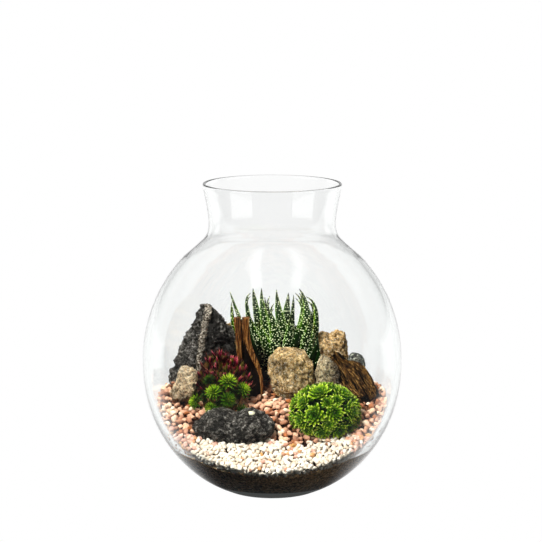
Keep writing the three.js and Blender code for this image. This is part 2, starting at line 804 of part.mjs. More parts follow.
Object.entries(STONES).forEach(([name, stone]) => place(name, boulder(stone), STONE_MATERIALS[name]));
place('lava_rock_tall', tallRock(), MATERIALS.lava);
place('driftwood_upright', uprightWood(), MATERIALS.redWood);
place('driftwood_right', slopingWood(), MATERIALS.darkWood);
const pebble = ellipsoid(STRAY_PEBBLE.centre, STRAY_PEBBLE.half);
place('stray_pebble', pebble.subtract(boulder(STONES.lava_rock_front, CLEARANCE)), MATERIALS.cream);

function plant(name, growth, finish, blocks = []) {
  const above = without(growth, [groundBlock, ...pockets, ...blocks]);
  place(name, above.add(rootPlug(ROOTS[name])), finish);
}

Object.entries(HAWORTHIAS).forEach(([name, spec]) => plant(name, haworthia(spec), MATERIALS.haworthia));
plant('green_cushion', greenCushion(), MATERIALS.cushion);
plant('green_clump', greenClump(), MATERIALS.lightGreen);
const headRooms = GREEN_HEADS.map(([x, y, z, size]) => {
  const reach = size + 1.5;
  return ellipsoid(point(x, y, z + 2), point(reach, reach, reach));
});
plant('red_clump', redClump(), MATERIALS.burgundy, headRooms);

export default terrarium;
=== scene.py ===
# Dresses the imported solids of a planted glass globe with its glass, gravel, stones, wood and plants.
# Lengths in the shapes are millimetres and become metres in meshes, +Z is up and the front is -Y.
import itertools
import math

import bmesh
import bpy
import numpy as np
from mathutils import Matrix, Vector
from mathutils.bvhtree import BVHTree


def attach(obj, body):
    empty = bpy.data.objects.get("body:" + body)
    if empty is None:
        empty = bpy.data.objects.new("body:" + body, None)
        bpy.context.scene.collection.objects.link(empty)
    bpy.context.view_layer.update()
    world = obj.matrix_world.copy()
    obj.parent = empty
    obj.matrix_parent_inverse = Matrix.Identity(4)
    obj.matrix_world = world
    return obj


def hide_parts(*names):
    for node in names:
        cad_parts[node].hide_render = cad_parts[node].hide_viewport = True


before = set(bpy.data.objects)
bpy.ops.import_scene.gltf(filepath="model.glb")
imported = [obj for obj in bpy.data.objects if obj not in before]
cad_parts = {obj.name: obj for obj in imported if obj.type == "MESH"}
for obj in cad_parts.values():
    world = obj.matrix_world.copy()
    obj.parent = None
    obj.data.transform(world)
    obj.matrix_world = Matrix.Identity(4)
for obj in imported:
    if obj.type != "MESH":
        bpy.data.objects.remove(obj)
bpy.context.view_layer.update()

MM = 0.001
TAU = 2 * math.pi


def added(name, data):
    """A new object in the scene."""
    obj = bpy.data.objects.new(name, data)
    bpy.context.scene.collection.objects.link(obj)
    return obj


# Camera: the photograph's view, with the vessel's axis a little right of the middle

CAMERA_X = -0.00114
EYE = Vector((CAMERA_X, -1.7918, 0.5171))
AIM = Vector((CAMERA_X, 0.0, 0.20998))

camera_data = bpy.data.cameras.new("camera")
camera_data.sensor_width = 36
camera_data.lens = 127.36
camera_data.clip_end = 100
camera = added("camera", camera_data)
camera.location = EYE
camera.rotation_euler = (AIM - EYE).to_track_quat("-Z", "Y").to_euler()
bpy.context.scene.camera = camera
bpy.context.scene.view_settings.view_transform = "Standard"
bpy.context.scene.cycles.use_denoising = True
bpy.context.scene.cycles.caustics_reflective = False
bpy.context.scene.cycles.caustics_refractive = False


# Noise on arrays of points

def lattice(cell, seed):
    """A fixed random number from 0 to 1 for each whole-numbered point."""
    n = cell[..., 0] * 73856093 ^ cell[..., 1] * 19349663 ^ cell[..., 2] * 83492791 ^ (seed * 2654435 + 97)
    n = (n ^ (n >> 13)) * 1274126177
    n = (n ^ (n >> 16)) & 0xFFFFFF
    return n / float(0x1000000)


def value_noise(points, seed):
    """Smooth noise from -1 to 1 with features about one unit wide."""
    points = np.asarray(points, float)
    base = np.floor(points).astype(np.int64)
    part = points - base
    part = part * part * (3 - 2 * part)
    total = np.zeros(points.shape[:-1])
    for corner in itertools.product((0, 1), repeat=3):
        corner = np.array(corner)
        weight = np.prod(np.where(corner == 1, part, 1 - part), axis=-1)
        total += weight * lattice(base + corner, seed)
    return total * 2 - 1


def fractal(points, octaves, seed, gain=0.5):
    points = np.asarray(points, float)
    total, size = np.zeros(points.shape[:-1]), 1.0
    for octave in range(octaves):
        total += size * value_noise(points * 2.0 ** octave + 17.3 * octave, seed + octave)
        size *= gain
    return total


def cells(points, seed=0):
    """Distance to the nearest of the scattered points, one in each unit cube."""
    points = np.asarray(points, float)
    base = np.floor(points).astype(np.int64)
    nearest = np.full(points.shape[:-1], 9.0)
    for corner in itertools.product((-1, 0, 1), repeat=3):
        cell = base + np.array(corner)
        spot = cell + np.stack([lattice(cell, seed + k) for k in (1, 2, 3)], axis=-1)
        nearest = np.minimum(nearest, np.linalg.norm(points - spot, axis=-1))
    return nearest


def bell(distance, width):
    """1 in the middle, falling to 0 over about twice the width."""
    return np.exp(-(distance / width) ** 2)


def smoothstep(low, high, value):
    share = np.clip((value - low) / (high - low), 0, 1)
    return share * share * (3 - 2 * share)


# Shapes gathered from many small bodies, and the pieces made from them

class Shape:
    """Vertices and faces of one piece, with two numbers a vertex and one material a face."""

    def __init__(self):
        self.verts, self.faces, self.tones, self.alongs, self.finishes = [], [], [], [], []
        self.count = 0

    def add(self, verts, faces, tone=0.5, along=0.0, finish=0):
        verts = np.asarray(verts, float).reshape(-1, 3)
        self.verts.append(verts)
        self.tones.append(np.broadcast_to(np.asarray(tone, float), len(verts)))
        self.alongs.append(np.broadcast_to(np.asarray(along, float), len(verts)))
        for block in faces if isinstance(faces, (list, tuple)) else [faces]:
            block = np.asarray(block, np.int64)
            self.faces.append(block + self.count)
            self.finishes.append(np.full(len(block), finish, np.int32))
        self.count += len(verts)


def piece(name, shape, materials, nodes):
    mesh = bpy.data.meshes.new(name)
    faces = [face for block in shape.faces for face in block.tolist()]
    mesh.from_pydata((np.concatenate(shape.verts) * MM).tolist(), [], faces)
    for title, values in (("tone", shape.tones), ("along", shape.alongs)):
        layer = mesh.attributes.new(title, "FLOAT", "POINT")
        layer.data.foreach_set("value", np.concatenate(values).astype(np.float32))
    mesh.polygons.foreach_set("material_index", np.concatenate(shape.finishes))
    mesh.polygons.foreach_set("use_smooth", np.ones(len(faces), bool))
    for material in materials:
        mesh.materials.append(material)
    mesh.update()
    obj = added(name, mesh)
    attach(obj, "root")
    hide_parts(*nodes)
    return obj


def grid_faces(rows, columns, wrap=True):
    """Quads between rings of points, stored ring after ring."""
    row = np.arange(rows - 1)[:, None]
    column = np.arange(columns if wrap else columns - 1)[None, :]
    after = (column + 1) % columns
    this, above = row * columns, (row + 1) * columns
    corners = [this + column, this + after, above + after, above + column]
    return np.stack(corners, axis=-1).reshape(-1, 4)


def closed_loft(rings):
    """Vertices and faces of a body through rings of points, with a fan at each end."""
    rings = np.asarray(rings, float)
    rows, columns = rings.shape[:2]
    verts = np.concatenate([rings.reshape(-1, 3), rings[0].mean(0)[None], rings[-1].mean(0)[None]])
    around = np.arange(columns)
    after = (around + 1) % columns
    first, last = rows * columns, rows * columns + 1
    start = np.stack([after, around, np.full(columns, first)], axis=-1)
    top = (rows - 1) * columns
    end = np.stack([top + around, top + after, np.full(columns, last)], axis=-1)
    return verts, [grid_faces(rows, columns), start, end]


def revolved(profile, columns):
    """A closed body of revolution from a profile that starts and ends on the axis."""
    profile = np.asarray(profile, float)
    inner = profile[1:-1]
    angle = TAU * np.arange(columns) / columns
    ring = np.stack([np.cos(angle), np.sin(angle)], axis=-1)
    rings = np.empty((len(inner), columns, 3))
    rings[..., :2] = inner[:, None, :1] * ring[None]
    rings[..., 2] = inner[:, None, 1]
    verts, faces = closed_loft(rings)
    verts[-2] = (0, 0, profile[0][1])
    verts[-1] = (0, 0, profile[-1][1])
    return verts, faces


def icosphere(level):
    ball = bmesh.new()
    bmesh.ops.create_icosphere(ball, subdivisions=level, radius=1)
    verts = np.array([v.co[:] for v in ball.verts])
    faces = np.array([[v.index for v in f.verts] for f in ball.faces])
    ball.free()
    return verts / np.linalg.norm(verts, axis=1, keepdims=True), faces


def spline(points, samples):
    """Points along a smooth curve through the given ones, also where their spacing varies."""
    points = np.asarray(points, float)
    chords = np.sqrt(np.linalg.norm(np.diff(points, axis=0), axis=1))
    knots = np.concatenate([[0], np.cumsum(chords)])
    slopes = np.diff(points, axis=0) / chords[:, None]
    before, after = chords[:-1, None], chords[1:, None]
    inner = (slopes[:-1] * after + slopes[1:] * before) / (after + before)
    tangents = np.concatenate([slopes[:1], inner, slopes[-1:]])
    place = np.linspace(0, knots[-1], samples)
    index = np.clip(np.searchsorted(knots, place, side="right") - 1, 0, len(points) - 2)
    step = chords[index][:, None]
    t = (place - knots[index])[:, None] / step
    a, b = points[index], points[index + 1]
    start, end = tangents[index] * step, tangents[index + 1] * step
    return (
        (2 * t ** 3 - 3 * t ** 2 + 1) * a + (t ** 3 - 2 * t ** 2 + t) * start
        + (3 * t ** 2 - 2 * t ** 3) * b + (t ** 3 - t ** 2) * end
    )


def unit(vector):
    vector = np.asarray(vector, float)
    return vector / np.linalg.norm(vector, axis=-1, keepdims=True)


def turned(points, axis, angle):
    """Points turned about an axis through the origin: 0 for X, 1 for Y and 2 for Z."""
    c, s = math.cos(angle), math.sin(angle)
    i, j = [(1, 2), (2, 0), (0, 1)][axis]
    out = np.array(points, float)
    out[..., i] = c * points[..., i] - s * points[..., j]
    out[..., j] = s * points[..., i] + c * points[..., j]
    return out


# Places read off the photograph, in pixels of its 542 by 542 frame, and the camera that reads them

FRAME_MIDDLE = 271.0
AXIS_COLUMN = 272.2
FOCAL_PIXELS = 1917.4
READING_EYE = np.array((0.0, -1791.825, 517.0695))
READING_AIM = np.array((0.0, 0.0, 209.98141))
AHEAD = unit(READING_AIM - READING_EYE)
RIGHT = np.array((1.0, 0.0, 0.0))
UPWARD = np.cross(RIGHT, AHEAD)


def sight(column, row):
    return FOCAL_PIXELS * AHEAD + (column - AXIS_COLUMN) * RIGHT - (row - FRAME_MIDDLE) * UPWARD


def seen(column, row, depth):
    """The place behind a pixel, at a distance behind the vessel's axis."""
    ray = sight(column, row)
    return READING_EYE + ray * (depth - READING_EYE[1]) / ray[1]


def seen_outline(depth, readings):
    """Columns and rows as x and height, to a tenth."""
    places = [seen(column, row, depth) for column, row in readings]
    return [(round(place[0], 1), round(place[2], 1)) for place in places]


def seen_leaf(depth, *readings):
    """Columns, rows and widths from tip to foot as x, height and width from foot to tip, to a tenth."""
    profile = []
    for column, row, width in reversed(readings):
        place = seen(column, row, depth)
        pixel = (place - READING_EYE) @ AHEAD / FOCAL_PIXELS
        profile.append((round(place[0], 1), round(place[2], 1), round(width * pixel, 1)))
    return depth, profile


# Material building

def rgb(code):
    """Linear colour from a hex code."""
    values = [int(code[k:k + 2], 16) / 255 for k in (0, 2, 4)]
    return tuple(v / 12.92 if v <= 0.04045 else ((v + 0.055) / 1.055) ** 2.4 for v in values) + (1.0,)


def feed(tree, socket, value):
    """Links a node's output to a socket, or sets the socket to a plain value."""
    if isinstance(value, bpy.types.NodeSocket):
        tree.links.new(value, socket)
    else:
        socket.default_value = value


def maths(tree, operation, *values):
    node = tree.nodes.new("ShaderNodeMath")
    node.operation = operation
    for socket, value in zip(node.inputs, values):
        feed(tree, socket, value)
    return node.outputs[0]


def mixed_shaders(tree, share, first, second):
    """The first shader where the share is 0, and the second where it is 1."""
    node = tree.nodes.new("ShaderNodeMixShader")
    for socket, source in zip(node.inputs, (share, first, second)):
        tree.links.new(source, socket)
    return node.outputs[0]


class Finish:
    """A material with one Principled shader, and short calls for the nodes that feed it."""

    def __init__(self, name, roughness=0.6, **sockets):
        self.material = bpy.data.materials.new(name)
        self.material.use_nodes = True
        self.tree = self.material.node_tree
        self.tree.nodes.clear()
        self.out = self.tree.nodes.new("ShaderNodeOutputMaterial")
        self.shader = self.tree.nodes.new("ShaderNodeBsdfPrincipled")
        self.link(self.shader.outputs[0], self.out.inputs["Surface"])
        self.shader.inputs["Roughness"].default_value = roughness
        for title, value in sockets.items():
            self.shader.inputs[title.replace("_", " ")].default_value = value
        self.place = self.tree.nodes.new("ShaderNodeTexCoord").outputs["Object"]

    def link(self, source, socket):
        self.tree.links.new(source, socket)

    def stretched(self, scale, turn):
        """Coordinates in metres along turned axes, times a scale for each."""
        node = self.tree.nodes.new("ShaderNodeMapping")
        self.link(self.place, node.inputs["Vector"])
        node.vector_type = "TEXTURE"
        node.inputs["Rotation"].default_value = turn
        node.inputs["Scale"].default_value = [1 / size for size in scale]
        return node.outputs["Vector"]

    def noise(self, scale, detail=4.0, roughness=0.55, vector=None, distortion=0.0):
        node = self.tree.nodes.new("ShaderNodeTexNoise")
        self.link(vector or self.place, node.inputs["Vector"])
        node.inputs["Scale"].default_value = scale
        node.inputs["Detail"].default_value = detail
        node.inputs["Roughness"].default_value = roughness
        node.inputs["Distortion"].default_value = distortion
        return node.outputs["Fac"]

    def cells(self, scale, vector=None):
        node = self.tree.nodes.new("ShaderNodeTexVoronoi")
        self.link(vector or self.place, node.inputs["Vector"])
        node.inputs["Scale"].default_value = scale
        return node.outputs["Distance"]

    def attribute(self, name):
        node = self.tree.nodes.new("ShaderNodeAttribute")
        node.attribute_name = name
        return node.outputs["Fac"]

    def ramp(self, value, stops):
        node = self.tree.nodes.new("ShaderNodeValToRGB")
        self.link(value, node.inputs["Fac"])
        elements = node.color_ramp.elements
        while len(elements) < len(stops):
            elements.new(0.5)
        for element, (position, colour) in zip(elements, stops):
            element.position = position
            element.color = rgb(colour) if isinstance(colour, str) else (colour, colour, colour, 1)
        return node.outputs["Color"]

    def mix(self, share, first, second, blend="MIX"):
        node = self.tree.nodes.new("ShaderNodeMix")
        node.data_type = "RGBA"
        node.blend_type = blend
        node.clamp_factor = True
        feed(self.tree, node.inputs["Factor"], share)
        for title, value in (("A", first), ("B", second)):
            socket = next(s for s in node.inputs if s.name == title and s.type == "RGBA")
            feed(self.tree, socket, rgb(value) if isinstance(value, str) else value)
        return next(s for s in node.outputs if s.type == "RGBA")

    def math(self, operation, *values):
        return maths(self.tree, operation, *values)

    def bump(self, height, distance, normal=None):
        node = self.tree.nodes.new("ShaderNodeBump")
        node.inputs["Strength"].default_value = 1.0
        node.inputs["Distance"].default_value = distance
        self.link(height, node.inputs["Height"])
        if normal is not None:
            self.link(normal, node.inputs["Normal"])
        return node.outputs["Normal"]

    def colour(self, value):
        feed(self.tree, self.shader.inputs["Base Color"], value)

    def normal(self, value):
        self.link(value, self.shader.inputs["Normal"])

    def surface(self, source):
        """Puts another shader in the place of the Principled one."""
        self.link(source, self.out.inputs["Surface"])


# Glass is faintly green where thick, and lets the lamps' light through without bending it
LAMP_TINT = (0.93, 0.95, 0.94, 1)
GLASS_COLOUR = (0.55, 0.85, 0.72, 1)
GLASS_DENSITY = 5.0


def glass_finish():
    finish = Finish("clear_glass", 0.0, IOR=1.5, Transmission_Weight=1.0)
    finish.colour((1.0, 1.0, 1.0, 1.0))
    lamps = finish.tree.nodes.new("ShaderNodeBsdfTransparent")
    lamps.inputs["Color"].default_value = LAMP_TINT
    path = finish.tree.nodes.new("ShaderNodeLightPath")
    shaders = finish.shader.outputs[0], lamps.outputs[0]
    finish.surface(mixed_shaders(finish.tree, path.outputs["Is Shadow Ray"], *shaders))
    depth = finish.tree.nodes.new("ShaderNodeVolumeAbsorption")
    depth.inputs["Color"].default_value = GLASS_COLOUR
    depth.inputs["Density"].default_value = GLASS_DENSITY
    finish.link(depth.outputs[0], finish.out.inputs["Volume"])
    return finish.material


def pebble_finish(name, stops, vein):
    finish = Finish(name, 0.45, Specular_IOR_Level=0.4)
    base = finish.ramp(finish.attribute("tone"), stops)
    cloud = finish.ramp(finish.noise(330.0, 4.0, 0.65), [(0.3, 0.8), (0.68, 1.1)])
    shaded = finish.mix(1.0, base, cloud, "MULTIPLY")
    veins = finish.ramp(finish.noise(620.0, 3.0, 0.6, distortion=1.5), [(0.55, 0.0), (0.72, 0.45)])
    finish.colour(finish.mix(veins, shaded, vein))
    finish.normal(finish.bump(finish.noise(900.0, 4.0, 0.6), 0.0004))
    return finish.material


def leaf_finish(name, outer, tones, roughness=0.38, gloss=0.45, coat=0.15):
    """Plant tissue: a ramp from foot to tip, brighter or darker leaf by leaf. A near-black start of the ramp
    is painted shade at the leaves' feet.
    """
    finish = Finish(name, roughness, Specular_IOR_Level=gloss, Coat_Weight=coat)
    finish.shader.inputs["Subsurface Weight"].default_value = 0.12
    finish.shader.inputs["Subsurface Radius"].default_value = (0.4, 1.0, 0.2)
    finish.shader.inputs["Subsurface Scale"].default_value = 0.002
    length = finish.ramp(finish.attribute("along"), outer)
    leafy = finish.ramp(finish.attribute("tone"), tones)
    mottle = finish.ramp(finish.noise(450.0, 3.0), [(0.3, 0.85), (0.7, 1.1)])
    finish.colour(finish.mix(1.0, finish.mix(1.0, length, leafy, "MULTIPLY"), mottle, "MULTIPLY"))
    finish.normal(finish.bump(finish.noise(1100.0, 2.0), 0.0003))
    return finish.material


# The vessel's profiles, in the terms of the part

BELLY_RADIUS, BELLY_HEIGHT = 123.5, 124.0
INNER_RADIUS, INNER_LOWER, INNER_UPPER = 117.9, 124.0, 132.4
OUTER_LOWER, OUTER_UPPER = 132.0, 136.0
BODY_POWER = 2.08
SHOULDER = 236.0


def body_radius(height, radius, lower, upper):
    below = np.asarray(height) < BELLY_HEIGHT
    reach, power = np.where(below, lower, upper), np.where(below, BODY_POWER, 2.0)
    share = np.clip(np.abs(height - BELLY_HEIGHT) / reach, 0, 1) ** power
    return radius * (1 - share) ** (1 / power)


def inner_radius(height):
    return body_radius(np.asarray(height, float), INNER_RADIUS, INNER_LOWER, INNER_UPPER)


def body_points(first, last, steps, radius, lower, upper):
    heights = np.linspace(first, last, steps)
    return np.stack([body_radius(heights, radius, lower, upper), heights], axis=-1)


# Radius and height up the neck, over the lip, out along the foot, and in along the floor
NECK_LINE = [
    (63.6, 242.6), (61.3, 247.2), (60.2, 252), (60, 257), (60.5, 263.5), (61.6, 271), (63, 278.5),
    (64.4, 285.5),
]
LIP_LINE = [
    (65.5, 290.6), (65.5, 292.9), (65.2, 293.8), (64.6, 294), (63.7, 294), (63.2, 293.8), (62.9, 292.9),
    (62.8, 290.6),
]
FOOT_LINE = [(0, 0), (20, 0), (38, 0), (42, 0), (44.6, 0.15), (46.4, 0.55)]
FLOOR_LINE = [(57.0, 14), (53.6, 11.9), (48.5, 10.5), (42, 9.7), (35.3, 9.1), (20, 8.7), (8, 8.55), (0, 8.5)]
FOOT_TOP = 1.2
FLOOR_EDGE = 14.0
# The wall's thickness up the neck: heights and thicknesses
NECK_WALL = [228, 246, 285], [4.3, 3.2, 2.7]


def make_glass():
    outside = body_points(FOOT_TOP, SHOULDER, 60, BELLY_RADIUS, OUTER_LOWER, OUTER_UPPER)
    inside = body_points(FLOOR_EDGE, SHOULDER - 9, 54, INNER_RADIUS, INNER_LOWER, INNER_UPPER)
    neck = spline([outside[-4], outside[-1]] + NECK_LINE, 64)
    slope = unit(np.gradient(neck, axis=0))
    wall = np.interp(neck[:, 1], *NECK_WALL)
    within = neck - np.stack([slope[:, 1], -slope[:, 0]], -1) * wall[:, None]
    within = within[within[:, 1] > SHOULDER - 6]
    lip = spline([neck[-1], *LIP_LINE, within[-1]], 40)[1:-1]
    profile = np.concatenate([FOOT_LINE, outside[:-4], neck, lip, within[::-1], inside[:0:-1], FLOOR_LINE])
    shape = Shape()
    shape.add(*revolved(profile, 144))
    return piece("glass_globe", shape, [glass_finish()], ["glass_vessel"])


# The ground, in the terms of the part

SLOPE_HEIGHT, SLOPE, BACK_LEVEL, SLOPE_BLEND = 85, 0.5, 91.5, 20
SIDE_RISE, SIDE_REACH, SIDE_BACK = 6, 115, 30
GRAVEL_DEPTH = 9
SOIL_EDGE_HEIGHT, SOIL_EDGE_SLOPE, SOIL_BANK_SLOPE, WALL_AT_SOIL = 45, 0.17, 1.2, 104
WHITE_EDGE, WHITE_EDGE_BEND, WHITE_EDGE_REACH = -55, 20, 102


def ground_height(x, y):
    slope = SLOPE_HEIGHT + SLOPE * y
    overlap = np.maximum(0, SLOPE_BLEND - np.abs(slope - BACK_LEVEL))
    level = np.minimum(slope, BACK_LEVEL) - overlap ** 2 / (4 * SLOPE_BLEND)
    return level + SIDE_RISE * np.clip((SIDE_BACK - y) / (2 * SIDE_BACK), 0, 1) * (x / SIDE_REACH) ** 2


def soil_height(x, y):
    edge = SOIL_EDGE_HEIGHT + SOIL_EDGE_SLOPE * y + SOIL_BANK_SLOPE * (WALL_AT_SOIL - np.hypot(x, y))
    return np.minimum(ground_height(x, y) - GRAVEL_DEPTH, edge)


def height_at_wall(surface, angle, inset):
    """Where a surface meets the inside of the glass, for each angle."""
    height = np.full(np.shape(angle), 60.0)
    for _ in range(60):
        radius = inner_radius(height) - inset
        height = 0.6 * height + 0.4 * surface(radius * np.cos(angle), radius * np.sin(angle))
    return height


def white_edge(x):
    return WHITE_EDGE + WHITE_EDGE_BEND * np.minimum(1.6, (x / WHITE_EDGE_REACH) ** 4)


def circle(radius, angle, height):
    """Points round the axis, one for each angle."""
    heights = np.broadcast_to(height, angle.shape)
    return np.stack([radius * np.cos(angle), radius * np.sin(angle), heights], -1)


def bowl_shell(columns, surface, inset, lowest, wall_rows, top_rows, floor_rows, drop=0.0):
    """Rings down the inside of the glass: a floor, a wall up to a surface, and the surface in to the axis."""
    angle = TAU * np.arange(columns) / columns
    edge = height_at_wall(surface, angle, inset) - drop
    low = np.broadcast_to(np.asarray(lowest(angle) if callable(lowest) else lowest, float), angle.shape)
    rings = []
    for share in np.linspace(0.04, 1, floor_rows + 1)[:-1]:
        rings.append(circle((inner_radius(low) - inset) * share, angle, 9.0 + 5.0 * share ** 6))
    for share in np.linspace(0, 1, wall_rows):
        height = low + (edge - low) * share
        rings.append(circle(inner_radius(height) - inset, angle, height))
    rim = inner_radius(edge) - inset
    for share in np.linspace(1, 0.02, top_rows + 1)[1:]:
        radius = rim * share
        x, y = radius * np.cos(angle), radius * np.sin(angle)
        rings.append(circle(radius, angle, surface(x, y) - drop))
    return np.array(rings)


# Paler than real soil, because little light reaches it behind the glass
SOIL_STOPS = [(0.37, "50351c"), (0.46, "a67a4e"), (0.54, "e8b880"), (0.64, "ffe8c0")]


def make_soil():
    rings = bowl_shell(360, soil_height, -0.12, 14.0, 52, 8, 5)
    flat = rings.reshape(-1, 3)
    inward = unit(flat * (1, 1, 0) + (1e-6, 0, 0))
    crumbs = 1.5 * (0.5 - cells(flat / 3.4, 5)) + 0.9 * (0.5 - cells(flat / 1.6, 9))
    crumbs = crumbs + 0.6 * fractal(flat / 7.0, 3, 4)
    # Only the deepest hollows between crumbs leave the glass
    depth = np.clip(-0.9 - crumbs, 0, 1.2)
    flat = flat - inward * depth[:, None]
    shape = Shape()
    verts, faces = closed_loft(flat.reshape(rings.shape))
    # The tone is painted shade: low in the deep dips between crumbs, higher on the crumbs' tops
    tone = np.clip(0.75 - 0.8 * depth + 0.35 * crumbs, 0, 1)
    shape.add(verts, faces, tone=np.concatenate([tone, [0.5, 0.5]]))
    finish = Finish("potting_soil", 0.9)
    base = finish.ramp(finish.noise(430.0, 6.0, 0.75), SOIL_STOPS)
    flecks = finish.ramp(finish.cells(360.0), [(0.05, 1.0), (0.13, 0.0)])
    crumbly = finish.mix(finish.math("MULTIPLY", flecks, 0.55), base, "b0906a")
    # Painted shade from the tone, darker in the dips between crumbs
    painted_relief_shading = finish.ramp(finish.attribute("tone"), [(0.1, 0.5), (0.8, 1.0)])
    finish.colour(finish.mix(1.0, crumbly, painted_relief_shading, "MULTIPLY"))
    finish.normal(finish.bump(finish.noise(1100.0, 5.0, 0.7), 0.0015))
    return piece("soil_fill", shape, [finish.material], ["soil"])


# Gravel: chips with flat facets, each scattered on the ground or pressed against the glass

def chip(level, random):
    verts, faces = icosphere(level)
    verts = verts * random.uniform((1.0, 0.66, 0.45), (1.3, 0.9, 0.68))
    for _ in range(7):
        normal = unit(random.normal(size=3))
        offset = random.uniform(0.42, 0.76)
        verts = verts - normal * np.maximum(0, verts @ normal - offset)[:, None]
    return verts, faces


def rotations(normals, random, tilt):
    """Turns that lay each chip's thin side along a normal, with a random spin and tilt."""
    normals = unit(normals + random.normal(scale=tilt, size=normals.shape))
    spin = unit(random.normal(size=normals.shape))
    first = unit(np.cross(normals, spin))
    second = np.cross(normals, first)
    return np.stack([first, second, normals], axis=-1)


def wall_normals(points):
    """Unit vectors from the glass towards the axis."""
    height = points[:, 2]
    slope = (inner_radius(height + 0.5) - inner_radius(height - 0.5))
    outward = np.concatenate([unit(points[:, :2]), -slope[:, None]], axis=1)
    return -unit(outward)


def ground_normals(x, y):
    dx = (ground_height(x + 1, y) - ground_height(x - 1, y)) / 2
    dy = (ground_height(x, y + 1) - ground_height(x, y - 1)) / 2
    return unit(np.stack([-dx, -dy, np.ones_like(dx)], axis=-1))


trees = {
    name: BVHTree.FromPolygons(
        [v.co for v in node.data.vertices], [p.vertices[:] for p in node.data.polygons])
    for name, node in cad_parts.items()
    if name.startswith(("tan", "beige", "dark", "lava", "driftwood"))
}


def clear_of_stones(points, margin):
    """True for each point that lies outside every stone and piece of wood by the margin."""
    keep = np.ones(len(points), bool)
    for tree in trees.values():
        for i, place in enumerate(points):
            if not keep[i]:
                continue
            found = tree.find_nearest(Vector(place * MM), 0.03)
            if found[0] is None:
                continue
            offset = Vector(place * MM) - found[0]
            inside = offset.dot(found[1]) < 0
            if inside or offset.length < margin * MM:
                keep[i] = False
    return keep


def hex_points(spacing, reach, random):
    rows = int(reach / (spacing * 0.8)) + 2
    row, column = np.meshgrid(np.arange(-rows, rows + 1), np.arange(-rows, rows + 1), indexing="ij")
    x = (column + 0.5 * (row % 2)) * spacing
    y = row * spacing * 0.8
    spots = np.stack([x.ravel(), y.ravel()], axis=-1) + random.uniform(-0.3, 0.3, (x.size, 2)) * spacing
    return spots[np.hypot(spots[:, 0], spots[:, 1]) < reach]


def is_white(points, random):
    """True where the white crescent lies, with a ragged edge."""
    x, y = points[:, 0], points[:, 1]
    waves = 3.2 * value_noise(np.stack([x / 9, y / 9, np.zeros_like(x)], -1), 31)
    return y < white_edge(x) + (waves + random.normal(scale=1.6, size=len(x)))


def scattered(spacing, sink, rise, random):
    """Chip centres over the whole ground, sunk by a given depth."""
    spots = hex_points(spacing, 118, random)
    x, y = spots[:, 0], spots[:, 1]
    z = ground_height(x, y) - sink + random.uniform(-rise, rise, len(x))
    points = np.stack([x, y, z], axis=-1)
    room = inner_radius(z) - np.hypot(x, y)
    points = points[room > 0.42 * spacing]
    return points, ground_normals(points[:, 0], points[:, 1])


def against_wall(spacing, random):
    """Chip centres in rows up the glass, from the soil to the ground's edge."""
    found = []
    angle = TAU * np.arange(720) / 720
    top = height_at_wall(ground_height, angle, 1.5)
    low = height_at_wall(soil_height, angle, 1.5)
    for level in range(40):
        height = 28 + level * spacing * 0.72
        count = int(TAU * float(inner_radius(height)) / spacing)
        theta = TAU * (np.arange(count) + 0.5 * (level % 2) + random.uniform(-0.25, 0.25, count)) / count
        z = height + random.uniform(-0.22, 0.22, count) * spacing
        index = (theta / TAU * 720).astype(int) % 720
        ragged = 1.3 * value_noise(np.stack([theta * 14, theta * 0, theta * 0], -1), 77)
        keep = (z < top[index] + 0.4) & (z > low[index] + 1.0 + ragged)
        found.append(circle(inner_radius(z) - 0.33 * spacing, theta, z)[keep])
    points = np.concatenate(found)
    return points, wall_normals(points)


def add_chips(shape, points, normals, sizes, tones, chips, random, tilt, squash=1.0):
    spins = rotations(normals, random, tilt)
    for place, spin, size, tone in zip(points, spins, sizes, tones):
        verts, faces = chips[random.integers(len(chips))]
        shape.add((verts * size * (1, 1, squash)) @ spin.T + place, faces, tone=tone)


def drift(points, scale, seed):
    return value_noise(points / scale, seed)


def of_colour(found, white, margin, random):
    """The white chips or the others, clear of the stones by a margin unless it is None."""
    points, normals = found
    keep = is_white(points, random) == white
    if margin is not None:
        keep = keep & clear_of_stones(points, margin)
    return points[keep], normals[keep]


def with_strays(tones, limit, random):
    """Gives the chips whose draw is over the limit a pink or amber tone."""
    strays = random.random(len(tones)) > limit
    tones[strays] = random.uniform(0, 0.3, strays.sum())
    return tones


def clipped_normal(mean, spread, count, random, low=0.0):
    return np.clip(random.normal(mean, spread, count), low, 1)


def ends(points):
    """1 at the two ends of the white crescent, where pink chips mix in."""
    return smoothstep(66, 76, np.abs(points[:, 0]))


PINK_STOPS = [
    (0.0, "4e2e1c"), (0.12, "ac6438"), (0.24, "a8745a"), (0.4, "ca967a"), (0.58, "e2ae8e"), (0.78, "f0caaa"),
    (1.0, "fae4cc"),
]
WHITE_STOPS = [
    (0.0, "d29850"), (0.12, "d49a86"), (0.25, "e6b8a6"), (0.32, "dcc6ac"), (0.6, "ebdac8"), (1.0, "fbf0e4"),
]


